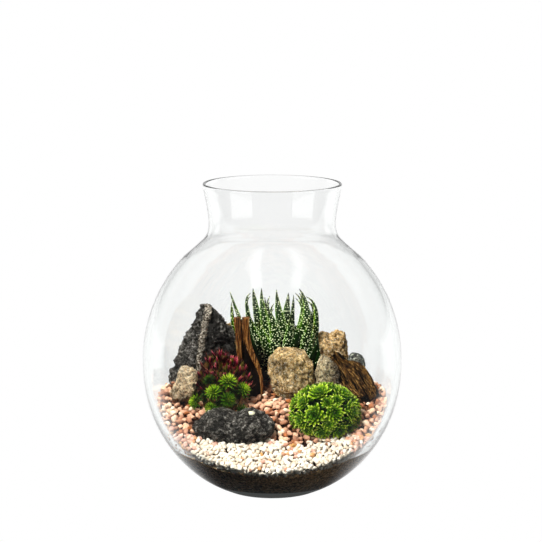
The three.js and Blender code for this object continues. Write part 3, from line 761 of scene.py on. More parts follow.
def make_gravel():
    random = np.random.default_rng(7)
    fine = [chip(2, random) for _ in range(14)]
    plain = [chip(1, random) for _ in range(6)]
    white, pink = Shape(), Shape()

    tops, normals = of_colour(scattered(5.7, 0.7, 0.9, random), False, 1.4, random)
    count = len(tops)
    sizes = random.uniform(2.7, 4.0, count) * (1 + 0.22 * (random.random(count) > 0.9))
    tones = np.clip(random.normal(0.44, 0.25, count) + 0.22 * drift(tops, 26, 3), 0, 1)
    add_chips(pink, tops, normals, sizes, tones, fine, random, 0.35)

    # The chips under the top layer get dark tones, painted shade in the gaps between the top chips
    under, normals = of_colour(scattered(6.0, 4.3, 0.6, random), False, 1.0, random)
    tones = clipped_normal(0.2, 0.15, len(under), random)
    add_chips(pink, under, normals, random.uniform(3.4, 4.2, len(under)), tones, plain, random, 0.3)

    edge, normals = of_colour(against_wall(5.6, random), False, None, random)
    tones = clipped_normal(0.6, 0.22, len(edge), random)
    add_chips(pink, edge, normals, random.uniform(2.9, 4.0, len(edge)), tones, fine, random, 0.12, 0.75)

    small, normals = of_colour(against_wall(3.9, random), True, None, random)
    tones = clipped_normal(0.72, 0.16, len(small), random, 0.3)
    tones = with_strays(tones, 0.965 - 0.85 * ends(small), random)
    add_chips(white, small, normals, random.uniform(2.2, 3.1, len(small)), tones, fine, random, 0.15, 0.8)

    tops, normals = of_colour(scattered(4.1, 0.5, 0.7, random), True, 1.2, random)
    count = len(tops)
    depth = white_edge(tops[:, 0]) - tops[:, 1]
    sizes = random.uniform(2.3, 3.2, count) * (1 + 0.3 * smoothstep(12, 2, depth) * random.random(count))
    tones = clipped_normal(0.7, 0.17, count, random, 0.28)
    blush = np.exp(-((tops[:, 0] - 18) / 10) ** 2 - ((tops[:, 1] + 62) / 9) ** 2)
    tones = with_strays(tones, 0.95 - 0.45 * blush - 0.85 * ends(tops), random)
    add_chips(white, tops, normals, sizes, tones, fine, random, 0.4)

    # The lower white chips get darker tones than the top ones, painted shade in the gaps between them
    lower, normals = of_colour(scattered(4.4, 2.2, 0.5, random), True, 0.8, random)
    tones = clipped_normal(0.55, 0.15, len(lower), random, 0.3)
    add_chips(white, lower, normals, random.uniform(2.6, 3.2, len(lower)), tones, plain, random, 0.3)

    # A dark sheet under the chips, painted shade seen in the gaps between them
    def shade_bed_foot(angle):
        return height_at_wall(soil_height, angle, 3.4) - 1.5

    shade_bed, shade_bed_faces = closed_loft(bowl_shell(180, ground_height, 3.4, shade_bed_foot, 6, 26, 0, 3.2))
    shade_bed = shade_bed + 0.5 * value_noise(shade_bed / 3.0, 12)[:, None] * (0, 0, 1)
    pink.add(shade_bed, shade_bed_faces, tone=0.5, finish=1)

    pinks = pebble_finish("pink_gravel", PINK_STOPS, "b27c62")
    whites = pebble_finish("white_gravel", WHITE_STOPS, "d2b394")
    shade = Finish("gravel_shade", 0.9)
    shade.colour(shade.ramp(shade.noise(300.0, 4.0), [(0.3, "160b07"), (0.7, "3c2219")]))
    shade.normal(shade.bump(shade.noise(500.0, 3.0), 0.001))
    piece("pink_chips", pink, [pinks, shade.material], ["gravel_pink"])
    piece("white_chips", white, [whites], ["gravel_white"])

    pebble = Shape()
    verts, faces = chip(3, random)
    pebble.add(turned(verts * (4.7, 4.0, 3.4), 2, 0.1) + (-19.5, -45, 82.3), faces, tone=0.5)
    cream = pebble_finish("cream_pebble", [(0.0, "e4dcb8"), (1.0, "efe8ca")], "cfc39a")
    piece("cream_chip", pebble, [cream], ["stray_pebble"])


# Stones

def boulder(centre, half, square, rough, seed, turn=0, tilt=0):
    """The part's boulder without its facets: unit directions and points about its middle."""
    way, faces = icosphere(6)
    x, y, z = way.T
    blocky = (np.abs(way) ** square).sum(1) ** (-1 / square)
    waves = np.sin(2.9 * x + seed) + np.sin(3.7 * y + 2.1 * seed) + np.sin(3.3 * z - 1.7 * seed)
    size = blocky * (1 + rough * 0.3 * waves)
    return way, way * size[:, None] * np.array(half), faces, (tilt, turn, centre)


def settled(points, setting):
    tilt, turn, centre = setting
    return turned(turned(points, 0, tilt), 2, turn) + centre


def flattened(way, count, seed):
    """How far each direction reaches once random planes have cut a unit ball."""
    random = np.random.default_rng(seed)
    reach = np.ones(len(way))
    for _ in range(count):
        facing = way @ unit(random.normal(size=3))
        offset = random.uniform(0.8, 0.96)
        reach = np.where(facing > offset, np.minimum(reach, offset / np.maximum(facing, 1e-3)), reach)
    return reach


def outlined(outline, depth, half_depth, level, seed, swell=0.62, cuts=14):
    """A stone with a given outline in front view: directions, points and faces."""
    outline = np.array(outline, float)
    middle = (outline.min(0) + outline.max(0)) / 2
    offset = outline - middle
    angle = np.arctan2(offset[:, 1], offset[:, 0])
    order = np.argsort(angle)
    angle, radius = angle[order], np.linalg.norm(offset, axis=1)[order]
    angle = np.concatenate([angle - TAU, angle, angle + TAU])
    radius = np.concatenate([radius, radius, radius])
    way, faces = icosphere(level)
    reach = flattened(way, cuts, seed)
    around = np.hypot(way[:, 0], way[:, 2])
    out = np.interp(np.arctan2(way[:, 2], way[:, 0]), angle, radius) * around ** (swell - 1)
    out = np.where(around > 1e-4, out, 0) * (0.5 + 0.5 * reach)
    deep = way[:, 1] * np.abs(way[:, 1]) ** -0.25 * half_depth * reach
    points = np.stack([way[:, 0] * out, deep, way[:, 2] * out], -1)
    points = np.nan_to_num(points)
    return way, points, faces, np.array((middle[0], depth, middle[1]))


def weathered(points, way, seed, lumps=1.2, grain=0.5, pits=0.6):
    """Moves points out and in: lumps, grain and pits. Also gives 0 in the dips and 1 on the heights, used for
    painted shade and painted highlights.
    """
    coarse = fractal(points / 11.0, 3, seed)
    ridge = fractal(points / 4.0, 3, seed + 11)
    small = fractal(points / 1.7, 3, seed + 20, 0.65)
    pit = smoothstep(0.45, 0.1, cells(points / 2.6, seed + 40))
    move = lumps * coarse + grain * (0.8 * ridge + small) - pits * pit
    height = np.clip(0.62 + 0.3 * ridge + 0.45 * small - 0.7 * pit, 0, 1)
    return points + way * move[:, None], height


def speckled_finish(name, stops, dark, light, speckle=620.0, stain_and_shade="4a3320"):
    """Coarse stone: colour by noise, painted shade in the dips and painted highlights on the heights, pale
    crystals and deep bump.
    """
    finish = Finish(name, 0.85)
    base = finish.ramp(finish.noise(260.0, 6.0, 0.8), stops)
    # Painted shade in the dips and painted highlights on the heights, from the tone
    painted_relief_shading = finish.ramp(finish.attribute("tone"), [(0.15, 0.3), (0.5, 0.85), (0.8, 1.15)])
    patches = finish.ramp(finish.noise(70.0, 3.0, 0.6), [(0.32, 0.68), (0.5, 0.95), (0.66, 1.12)])
    # The along value mixes in the stain colour: darker towards the bottom, in patches, and painted shade on a
    # shaded side or in a hollow
    stained_and_shaded = finish.mix(finish.attribute("along"), finish.mix(1.0, base, patches, "MULTIPLY"), stain_and_shade)
    grit = finish.ramp(finish.noise(480.0, 5.0, 0.7), [(0.38, 0.45), (0.48, 1.0), (0.6, 1.3)])
    shaded = finish.mix(1.0, finish.mix(1.0, stained_and_shaded, painted_relief_shading, "MULTIPLY"), grit, "MULTIPLY")
    dots = finish.ramp(finish.cells(speckle), [(0.12, 1.0), (0.3, 0.0)])
    dotted = finish.mix(finish.math("MULTIPLY", dots, 0.8), shaded, dark)
    crystals = finish.ramp(finish.noise(speckle * 1.3, 3.0, 0.6, distortion=0.6), [(0.58, 0.0), (0.7, 0.8)])
    finish.colour(finish.mix(crystals, dotted, light))
    coarse = finish.bump(finish.noise(420.0, 6.0, 0.8), 0.0022)
    finish.normal(finish.bump(finish.noise(1500.0, 3.0, 0.7), 0.0008, normal=coarse))
    return finish.material


# The stones' outlines, read at the depth of each face. Most points were then moved, by up to four pixels.
TAN_OUTLINE = seen_outline(16, [
    (282.8, 348.3), (292, 347.8), (302, 351.2), (308, 357), (313.9, 364.2), (312.8, 371), (314.7, 378.3),
    (314.9, 388), (312, 399.6), (300, 402.6), (286, 401.1), (278, 396.6), (272.4, 390), (270.6, 378),
    (267.6, 370.5), (267.1, 363), (271, 356), (276.5, 350.5),
])
SMALL_OUTLINE = seen_outline(12.5, [
    (322, 355.9), (327, 357), (332.5, 360.6), (336.6, 365), (338.6, 372), (338.6, 379), (338, 390),
    (335.4, 396), (324, 397.4), (318, 391.3), (317.2, 378), (317.2, 368), (318.5, 361),
])
REAR_OUTLINE = seen_outline(54, [
    (319, 333.7), (325, 332.9), (330.5, 334.9), (337, 331.9), (342.1, 331.7), (345.4, 333.3), (347, 343),
    (347.6, 352), (348, 362), (347, 377.7), (330, 383.6), (318.8, 382.6), (317.9, 365), (318.5, 350),
    (317.6, 342),
])
BEIGE_OUTLINE = seen_outline(-2, [
    (181.6, 366.3), (186.4, 365.6), (192, 366.7), (196.2, 369.3), (197.4, 376), (197.7, 383), (195.5, 391),
    (191.8, 398), (185.6, 403), (177.3, 404.5), (171, 400.9), (169.9, 394), (171.4, 388.5), (175.5, 383),
    (177, 377), (178, 370.9),
])
GREY_OUTLINE = seen_outline(41, [
    (350.8, 355.3), (353.5, 353.7), (358, 353.5), (362.1, 355), (364.6, 358.5), (365.5, 363), (364.8, 370),
    (364, 378.7), (358, 383.6), (351.6, 382), (349.8, 374), (349.5, 363), (349.7, 358),
])


TAN_STOPS = [(0.32, "4c3416"), (0.43, "a27a44"), (0.51, "d2ac74"), (0.6, "f0d4a2"), (0.72, "fff0d8")]
GOLD_STOPS = [(0.28, "5a3a18"), (0.42, "b0824a"), (0.52, "dcb47c"), (0.62, "f0d4a4"), (0.76, "fcecca")]
BEIGE_STOPS = [(0.28, "684e34"), (0.42, "b89470"), (0.52, "dcc09a"), (0.62, "f0d8b6"), (0.76, "fceedc")]
DRAB_STOPS = [(0.28, "5c4a36"), (0.42, "a48a68"), (0.52, "cab28a"), (0.62, "e2d0aa"), (0.76, "f6ecd2")]
GREY_STOPS = [(0.36, "1c1b1c"), (0.45, "434443"), (0.53, "74746c"), (0.61, "aeae9c"), (0.72, "e4e2d0")]


def make_stones():
    tan = speckled_finish("tan_rock", TAN_STOPS, "2e1f0d", "fff8ea")
    gold = speckled_finish("gold_rock", GOLD_STOPS, "4a2f16", "fff6e4", 480.0)
    beige = speckled_finish("beige_stone", BEIGE_STOPS, "3a2a1a", "fdf5e6")
    greyish = speckled_finish("drab_stone", DRAB_STOPS, "38291c", "fbf4e2", stain_and_shade="35241f")
    grey = speckled_finish("grey_stone", GREY_STOPS, "101417", "eceada", 300.0)

    def put(name, node, slot, finish, outline, depth, half_depth, seed, painted_shade_from=100, level=6, **wear):
        way, points, faces, centre = outlined(outline, depth, half_depth, level, seed)
        points, height = weathered(points, way, seed, **wear)
        # Painted shade: the side beyond a given x is darkened towards the stone's stain colour
        painted_shade_side = 0.8 * smoothstep(painted_shade_from, painted_shade_from + 4, points[:, 0] + 3 * fractal(points / 6, 2, 63))
        shape = Shape()
        shape.add(points + centre, faces, tone=height, along=np.maximum(darker_low_and_patches(points), painted_shade_side))
        piece(name, shape, [finish], [node])

    def darker_low_and_patches(points):
        """Darker towards the bottom, most on the lowest quarter, and in patches above it."""
        low, high = points[:, 2].min(), points[:, 2].max()
        rise = (points[:, 2] - low) / (high - low) + 0.16 * fractal(points / 9, 3, 51)
        return 0.75 * smoothstep(0.42, 0.08, rise) + 0.25 * smoothstep(0.15, 0.7, fractal(points / 7, 3, 57))

    # The middle rock has a level crack at the right and a hollow above it at the left, both painted darker as
    # painted shade
    way, points, faces, centre = outlined(TAN_OUTLINE, 18, 15, 6, 4, 0.55, 26)
    points, height = weathered(points, way, 5, 1.2, 0.7, 0.8)
    x, _, z = points.T
    front = smoothstep(0.25, -0.5, way[:, 1])
    line = z - 3.0 + 0.02 * x - 2.6 * fractal(points / 8, 3, 8)
    crack = bell(line, 1.2) * front * smoothstep(-8, 2, x)
    hollow = np.exp(-((x + 9) / 8) ** 2 - ((z - 9) / 6.5) ** 2) * front
    shelf = smoothstep(3, -6, line) * front
    points = points - way * (1.3 * crack + 2.2 * hollow - 0.9 * shelf)[:, None]
    shape = Shape()
    shape.add(
        points + centre, faces, tone=np.clip(height - 0.3 * crack - 0.4 * hollow, 0, 1),
        along=np.clip(darker_low_and_patches(points) + 0.4 * hollow, 0, 1))
    piece("tan_rock_middle", shape, [tan], ["tan_rock_centre"])

    put("tan_rock_lesser", "tan_rock_small", "tan_rock", greyish, SMALL_OUTLINE, 12.5, 8, 9, 1.5, lumps=0.7)
    put(
        "tan_rock_rear", "tan_rock_back", "tan_rock", gold, REAR_OUTLINE, 54, 12.5, 2,
        lumps=1.5, grain=0.9, pits=1.2)
    put(
        "beige_stone", "beige_stone_left", "beige_stone", beige, BEIGE_OUTLINE, -2, 9.5, 11,
        lumps=1.3, grain=0.7)
    put(
        "grey_stone", "dark_stone_right", "grey_stone", grey, GREY_OUTLINE, 41, 8, 5,
        level=5, lumps=0.6, grain=0.4)

    way, points, faces, setting = boulder((-44, 80, 115), (12.5, 10, 28), 3, 0.1, 6)
    points, height = weathered(points, way, 9)
    shape = Shape()
    shape.add(settled(points, setting), faces, tone=height)
    piece("tan_rock_hidden", shape, [tan], ["tan_rock_behind"])


# Lava rocks

VEIN_STOPS = [(0.42, "241a14"), (0.49, "8c7a68"), (0.58, "ecdfce")]


def lava_finish(name, stops, vein=False):
    finish = Finish(name, 0.8)
    base = finish.ramp(finish.noise(430.0, 6.0, 0.8), stops)
    # Painted shade in the dips and painted highlights on the heights, from the tone
    painted_relief_shading = finish.ramp(finish.attribute("tone"), [(0.2, 0.2), (0.5, 0.8), (0.85, 1.5)])
    shaded = finish.mix(1.0, base, painted_relief_shading, "MULTIPLY")
    # Painted shade: small dark spots standing in for the shade inside pore holes
    pore_shade = finish.ramp(finish.cells(700.0), [(0.1, 0.05), (0.38, 1.0)])
    colour = finish.mix(0.8, shaded, finish.mix(1.0, shaded, pore_shade, "MULTIPLY"))
    if vein:
        speckle = finish.ramp(finish.noise(560.0, 4.0, 0.75), VEIN_STOPS)
        colour = finish.mix(finish.attribute("along"), colour, speckle)
    finish.colour(colour)
    coarse = finish.bump(finish.noise(480.0, 6.0, 0.82), 0.003)
    finish.normal(finish.bump(finish.cells(900.0), 0.0012, normal=coarse))
    return finish.material


def porous(points, way, seed, ridge, pits):
    """Rough lava: ridges and pits of two sizes. Also gives 0 in the dips and 1 on the heights, used for
    painted shade and painted highlights.
    """
    sharp = 1 - np.abs(fractal(points / 11.0, 4, seed, 0.6))
    small = fractal(points / 3.2, 3, seed + 9, 0.65)
    pit = smoothstep(0.5, 0.1, cells(points / 4.6, seed + 30))
    pore = smoothstep(0.5, 0.15, cells(points / 2.0, seed + 50))
    move = ridge * (sharp - 0.7) + 0.9 * small - pits * pit - 0.7 * pits * pore
    height = np.clip(0.55 + 0.5 * (sharp - 0.7) + 0.35 * small - 0.45 * pit - 0.45 * pore, 0, 1)
    return points + way * move[:, None], height


TALL_ROCK = [
    (86, -65, 45, 34, 16), (104, -65, 45, 33.5, 16), (121, -64, 45, 28.5, 15), (140, -62, 45.5, 22.5, 12.5),
    (152, -62.5, 46, 15, 9.5), (161, -64, 46, 9, 7), (168.5, -66.5, 46, 4.2, 4.2),
]


def make_lava():
    shape = Shape()
    way, points, faces, setting = boulder(
        (-36.5, -41, 67.5), (36.5, 20, 13), 2.7, rough=0.2, seed=7, turn=-0.06, tilt=0.4)
    x = points[:, 0]
    humps = 4.2 * bell(x + 16, 9) + 2.4 * bell(x - 20, 11) - 2.6 * bell(x - 3, 6)
    humps = humps - 2.5 * smoothstep(-26, -38, x)
    points = points + (humps * smoothstep(-0.3, 0.6, way[:, 2]))[:, None] * (0, 0, 1)
    crease = np.abs(fractal(points / 13.0, 2, 77))
    points = points - way * (2.2 * bell(crease, 0.09))[:, None]
    points, height = porous(points, way, 3, 1.9, 0.9)
    # The crease is painted darker as well, as painted shade
    height = np.clip(height - 0.35 * bell(crease, 0.1), 0, 1)
    shape.add(settled(points, setting), faces, tone=height)
    dark = lava_finish("lava_rock", [(0.37, "110f0d"), (0.46, "3c3732"), (0.54, "746d66"), (0.66, "ccc4ba")])
    piece("lava_rock_low", shape, [dark], ["lava_rock_front"])

    rows, columns = 150, 200
    levels = spline(TALL_ROCK, rows)
    angle = TAU * np.arange(columns) / columns
    facets = 0.1 * value_noise(np.stack([3 * np.cos(angle), 3 * np.sin(angle), angle * 0], -1), 14)
    rings = np.empty((rows, columns, 3))
    for row, (z, x, y, half_x, half_y) in enumerate(levels):
        drifting = facets + 0.06 * value_noise(
            np.stack([4 * np.cos(angle), 4 * np.sin(angle), np.full(columns, z / 16)], -1), 15)
        rings[row, :, 0] = x + half_x * (1 + drifting) * np.cos(angle)
        rings[row, :, 1] = y + half_y * (1 + drifting) * np.sin(angle)
        rings[row, :, 2] = z
    verts, faces = closed_loft(rings)
    middle = np.stack([np.interp(verts[:, 2], levels[:, 0], levels[:, k]) for k in (1, 2)], -1)
    out = np.concatenate([verts[:, :2] - middle, 0.25 * np.abs(verts[:, :2] - middle).sum(1)[:, None]], 1)
    out = unit(out + 1e-6)
    # The pale vein runs down the front from the right of the peak to the foot, with a groove beside it
    x, y, z = verts.T
    front = smoothstep(0.2, -0.3, out[:, 1])
    line = np.interp(z, [86, 100, 128, 150, 160, 168], [-77.5, -75, -70.5, -66, -63.5, -62.5])
    wide = np.interp(z, [86, 130, 160], [2.6, 3.0, 4.6])
    near = bell(x - line - 1.4 * fractal(verts / 8, 2, 5), wide) * front
    groove = bell(x - line - 7.0, 3.4) * front
    shoulder = bell(x + 46, 5) * smoothstep(150, 120, z) * front
    verts, height = porous(verts, out, 8, 3.3, 1.7)
    verts = verts + out * (1.6 * near - 1.8 * groove - 2.0 * shoulder)[:, None]
    # Painted light and shade: left of the vein the face is painted lighter and right of it darker, and the
    # groove and the shoulder darker still
    lit = smoothstep(6, -8, x - line)
    height = np.clip(height + 0.12 * lit - 0.25 * (1 - lit) - 0.3 * groove - 0.3 * shoulder, 0, 1)
    tall = Shape()
    tall.add(verts, faces, tone=height, along=smoothstep(0.3, 0.7, near + 0.25 * fractal(verts / 2.5, 2, 6)))
    black = lava_finish("lava_rock_veined", [
        (0.37, "0f0d0c"), (0.46, "3a3531"), (0.54, "766f69"), (0.66, "cac3bc")], vein=True)
    piece("lava_rock_peak", tall, [black], ["lava_rock_tall"])


# Driftwood

def strand(path, widths, depths, face, seed, ridges=0.16, rows=90, columns=56, grooves=7):
    """A grooved board along a path, with a width and a depth at each of its points."""
    line = spline(path, rows)
    width = np.interp(np.linspace(0, 1, rows), np.linspace(0, 1, len(widths)), widths)
    depth = np.interp(np.linspace(0, 1, rows), np.linspace(0, 1, len(depths)), depths)
    tangent = unit(np.gradient(line, axis=0))
    outward = unit(np.array(face, float) - (tangent @ np.array(face, float))[:, None] * tangent)
    across = np.cross(tangent, outward)
    angle = TAU * np.arange(columns) / columns
    squarer = 1 / (np.abs(np.cos(angle)) ** 3 + np.abs(np.sin(angle)) ** 3) ** (1 / 3)
    where = np.stack(np.broadcast_arrays(
        grooves * np.cos(angle)[None] * 0.5, grooves * np.sin(angle)[None] * 0.5,
        np.linspace(0, 1, rows)[:, None] * 2.2 + seed), -1)
    groove = 1.1 * np.abs(value_noise(where, seed))
    groove = groove + 0.5 * np.abs(value_noise(where * (2.6, 2.6, 2.0), seed + 5))
    fine = value_noise(where * (5.0, 5.0, 9.0), seed + 9)
    size = squarer[None] * (1 - ridges * (1 - groove) + 0.05 * fine)
    rings = (
        line[:, None]
        + across[:, None] * (np.cos(angle)[None] * size * width[:, None])[..., None]
        + outward[:, None] * (np.sin(angle)[None] * size * depth[:, None])[..., None]
    )
    verts, faces = closed_loft(rings)
    hollow = np.concatenate([np.clip(groove, 0, 1).ravel(), [0.5, 0.5]])
    return verts, faces, hollow


def wood_finish(name, stops, along_axis, groove, turn=(0, 0, 0)):
    finish = Finish(name, 0.72)
    grain = finish.noise(1.0, 6.0, 0.65, finish.stretched(along_axis, turn))
    base = finish.ramp(grain, stops)
    # Painted shade: darker in the grooves between ridges, and nearly black where the along value is near 0,
    # as on the core pieces
    painted_groove_shade = finish.ramp(finish.attribute("along"), [(0.05, groove), (0.45, "ffffff")])
    finish.colour(finish.mix(1.0, base, painted_groove_shade, "MULTIPLY"))
    finish.normal(finish.bump(grain, 0.003))
    return finish.material


SLAB_UPPER = [
    (63, 31, 124.5), (71.2, 27, 118), (81.5, 22, 116.5), (91, 14, 110.5), (98, 5, 100.5), (100.6, -3, 88.5),
]
SLAB_LOWER = [
    (57.5, 27, 121), (60.5, 18, 109.8), (66, 10, 101), (72.5, 2, 93), (80.5, -4.5, 87), (89.5, -8, 83),
]
RED_WOOD = [(0.38, "120703"), (0.46, "4e270e"), (0.53, "9a5c28"), (0.6, "d69a56"), (0.69, "fad69c")]
DARK_WOOD = [(0.36, "0a0502"), (0.46, "2c190a"), (0.54, "64421e"), (0.63, "a87c42"), (0.76, "ecca90")]


# Upright boards: path, half widths, half depths, seed, and how light the ridges are. At 0 a board is painted
# wholly in the groove colour, a dark core of painted shade behind the others.
BOARDS = [
    ([(-30, 12.5, 96), (-30.6, 12, 112), (-31.6, 11.8, 128), (-32.6, 11.6, 145.6), (-33.4, 12, 162.3)],
     [1.8, 2.2, 2.7, 3.1, 3.4], [2.6, 2.4, 2.2, 2.2], 21, 1.0),
    ([(-9.3, 14.5, 78), (-9.8, 14, 90.2), (-11, 13.6, 104.1), (-14, 13.2, 113.9), (-18.8, 13, 124.8),
      (-22.8, 12.8, 135.6), (-25, 12.6, 147.3), (-25.5, 12.4, 162)],
     [1.4, 1.5, 1.7, 2.3, 2.9, 3.3, 3.5, 3.7], [2.4, 2.6, 2.8, 2.8], 33, 1.0),
    ([(-21.5, 20, 78), (-20.5, 20, 100), (-24, 18.5, 122), (-29.3, 17, 158.5)],
     [11.5, 10.5, 7.0, 4.6], [3.6, 3.4, 3.2, 3.0], 47, 0.0),
    ([(-27.6, 15.5, 128), (-28.6, 14.6, 143), (-29.2, 14.2, 157)], [1.0, 1.1, 1.0], [1.4, 1.4], 52, 0.35),
]
SLAB_STRANDS = 9


def make_wood():
    red = wood_finish("red_driftwood", RED_WOOD, (1100.0, 800.0, 80.0), "1c0c05")
    upright = Shape()
    for path, widths, depths, seed, light in BOARDS:
        verts, faces, hollow = strand(path, widths, depths, (0, -1, 0.05), seed)
        upright.add(verts, faces, along=hollow * light)
    piece("driftwood_boards", upright, [red], ["driftwood_upright"])

    upper = spline(SLAB_UPPER, 9)
    lower = spline(SLAB_LOWER, 9)
    along = unit(upper[-1] + lower[-1] - upper[0] - lower[0])
    across = unit(upper[4] - lower[4])
    face = unit(np.cross(along, across))
    face = face if face[2] > 0 else -face
    axes = Matrix((np.cross(face, along), face, along)).transposed()
    brown = wood_finish("dark_driftwood", DARK_WOOD, (760.0, 760.0, 150.0), "0c0603", axes.to_euler())
    random = np.random.default_rng(11)
    slab = Shape()
    # Gnarled strands fan out from the narrow top over a core painted nearly black, a dark body of painted
    # shade behind them
    shares = np.linspace(0, 1, 9)
    for k in range(SLAB_STRANDS):
        side = (k + 0.5) / SLAB_STRANDS + random.uniform(-0.03, 0.03)
        phase, sway = random.uniform(0, TAU), random.uniform(0.8, 1.9)
        local = np.linalg.norm(upper - lower, axis=1)
        swing = sway * np.sin(8.5 * shares + phase)
        crown = 3.2 * (1 - (2 * side - 1) ** 2) - 1.4 + random.uniform(-0.6, 0.9)
        crown = crown + 1.5 * np.sin(10 * shares + 2.1 * phase)
        path = lower + (upper - lower) * side + swing[:, None] * across + crown[:, None] * face
        first, last = random.integers(0, 2), 9 - random.integers(0, 2)
        widths = local / SLAB_STRANDS * random.uniform(0.6, 1.0) * (1 + 0.3 * np.sin(13 * shares + phase))
        verts, faces, hollow = strand(
            path[first:last], widths[first:last], [2.2, 3.2, 2.8, 2.0], face, 60 + k, 0.5, 80, 26, 4)
        slab.add(verts, faces, along=np.clip(hollow * random.uniform(0.45, 1.5), 0, 1))
    core = (upper + lower)[::2] / 2 - face * 2.2
    verts, faces, hollow = strand(core, [5.5, 10, 13, 13, 10.5], [2.4, 3.0, 3.0, 2.4], face, 91, 0.2, 60, 40)
    slab.add(verts, faces, along=hollow * 0.1)
    piece("driftwood_slab", slab, [brown], ["driftwood_right"])


# Leaves

def leaf(foot, up, spoke, open_foot, open_tip, length, width, thick, point=1.0):
    """A rosette leaf: it leaves the foot at one angle from the axis and ends at another."""
    rows, columns = 6, 6
    share = np.linspace(0, 1, rows)
    spread = open_foot + (open_tip - open_foot) * share
    way = np.cos(spread)[:, None] * up + np.sin(spread)[:, None] * spoke
    line = foot + np.concatenate([[(0, 0, 0)], np.cumsum((way[1:] + way[:-1]) / 2, 0)]) * length / (rows - 1)
    side = np.cross(up, spoke)
    out = np.cross(way, side)
    swell = (0.5 + 0.5 * np.sin(np.pi * np.minimum(1, share / 0.62) / 2)) * (1 - share ** (2 * point)) ** 0.6
    swell = np.maximum(swell, 0.03)
    angle = TAU * np.arange(columns) / columns
    rings = (
        line[:, None]
        + side[None, None] * (np.cos(angle)[None] * swell[:, None] * width / 2)[..., None]
        + out[:, None] * (np.sin(angle)[None] * swell[:, None] * thick / 2)[..., None]
    )
    verts, faces = closed_loft(rings)
    return verts, faces, np.concatenate([np.repeat(share, columns), [0, 1]])


GOLDEN_ANGLE = math.pi * (3 - math.sqrt(5))


def rosette(shape, centre, axis, size, leaves, random, opening, curl, slim, thick, inner, tones):
    """A spiral of leaves round an axis, short and upright inside, long and open outside."""
    up = unit(axis)
    helper = np.array((0, 0, 1.0)) if abs(up[2]) < 0.9 else np.array((1.0, 0, 0))
    first = unit(np.cross(helper, up))
    second = np.cross(up, first)
    phase = random.uniform(0, TAU)
    head_tone = random.uniform(-0.1, 0.1)
    for k in range(leaves):
        share = (k + 0.5) / leaves
        turn = phase + k * GOLDEN_ANGLE
        spoke = math.cos(turn) * first + math.sin(turn) * second
        open_angle = opening[0] + (opening[1] - opening[0]) * share ** 0.8 + random.normal(scale=0.05)
        length = size * (inner + (1 - inner) * share ** 0.7) * random.uniform(0.92, 1.08)
        bend = curl * (0.4 + 0.6 * share)
        foot = centre + spoke * size * 0.03 - up * size * 0.15 * share
        width = size * slim * (0.6 + 0.4 * share)
        verts, faces, along = leaf(
            foot, up, spoke, open_angle + bend * 0.6, open_angle - bend * 0.6, length, width, size * thick)
        tone = np.clip(tones[0] + (tones[1] - tones[0]) * share + head_tone + random.normal(scale=0.07), 0, 1)
        shape.add(verts, faces, tone=tone, along=along)


CUSHION_CENTRE, CUSHION_HALF = np.array((49.7, -27.6, 77.0)), np.array((30.0, 28.5, 25.5))


def on_dome(column, row):
    """Compass angle and rise, to a degree, of the place on the dome that a pixel shows or passes nearest."""
    start, ray = (READING_EYE - CUSHION_CENTRE) / CUSHION_HALF, unit(sight(column, row)) / CUSHION_HALF
    square, half_slope, rest = ray @ ray, ray @ start, start @ start - 1
    under_root = max(0.0, half_slope ** 2 - square * rest)
    x, y, z = unit(start - ray * (half_slope + math.sqrt(under_root)) / square)
    return round(math.degrees(math.atan2(y, x))), round(math.degrees(math.asin(z)))


# Heads of the cushion: compass angle, rise and size. Those that a pixel is given for were read off.
CUSHION_HEADS = [
    (*on_dome(320, 394.2), 15.5), (*on_dome(315, 415), 14), (-74, 17, 12.5), (*on_dome(342.5, 394.2), 13.5),
    (*on_dome(321.3, 430), 11.5), (-67, -17, 12), (*on_dome(350, 411.7), 13.5), (*on_dome(297.5, 402.5), 14),
    (*on_dome(304, 389), 13), (*on_dome(357, 404), 13), (*on_dome(301.7, 420), 12.5), (-125, -20, 10),
    (-44, -14, 11.5), (*on_dome(326.7, 383.5), 13), (*on_dome(352, 389), 12.5),
    (-146, 36, 11.5), (-62, 44, 9.5), (50, 44, 13), (105, 42, 13), (35, 12, 13), (75, 14, 13), (118, 10, 13),
    (152, 12, 13), (-165, -6, 12), (-12, -10, 12), (20, -14, 12), (60, -14, 12), (100, -14, 12),
    (140, -14, 12), (-86, 40, 8.5), (-86, -3, 10),
]


def dome_point(compass, rise, scale):
    turn, lift = math.radians(compass), math.radians(rise)
    out = np.array((math.cos(lift) * math.cos(turn), math.cos(lift) * math.sin(turn), math.sin(lift)))
    return CUSHION_CENTRE + out * CUSHION_HALF * scale, out


# From foot to tip: the near-black foot is painted shade deep in the cushion's heads
LIME_STOPS = [(0.0, "0c2002"), (0.4, "224804"), (0.66, "587e08"), (0.84, "a8be24"), (1.0, "f4f694")]
LIME_TONES = [(0.0, "2e5418"), (0.3, "688c38"), (0.65, "dce8b4"), (1.0, "ffffff")]
VALLEY_LEAVES = 900
VALLEY_MARGIN = 4.7


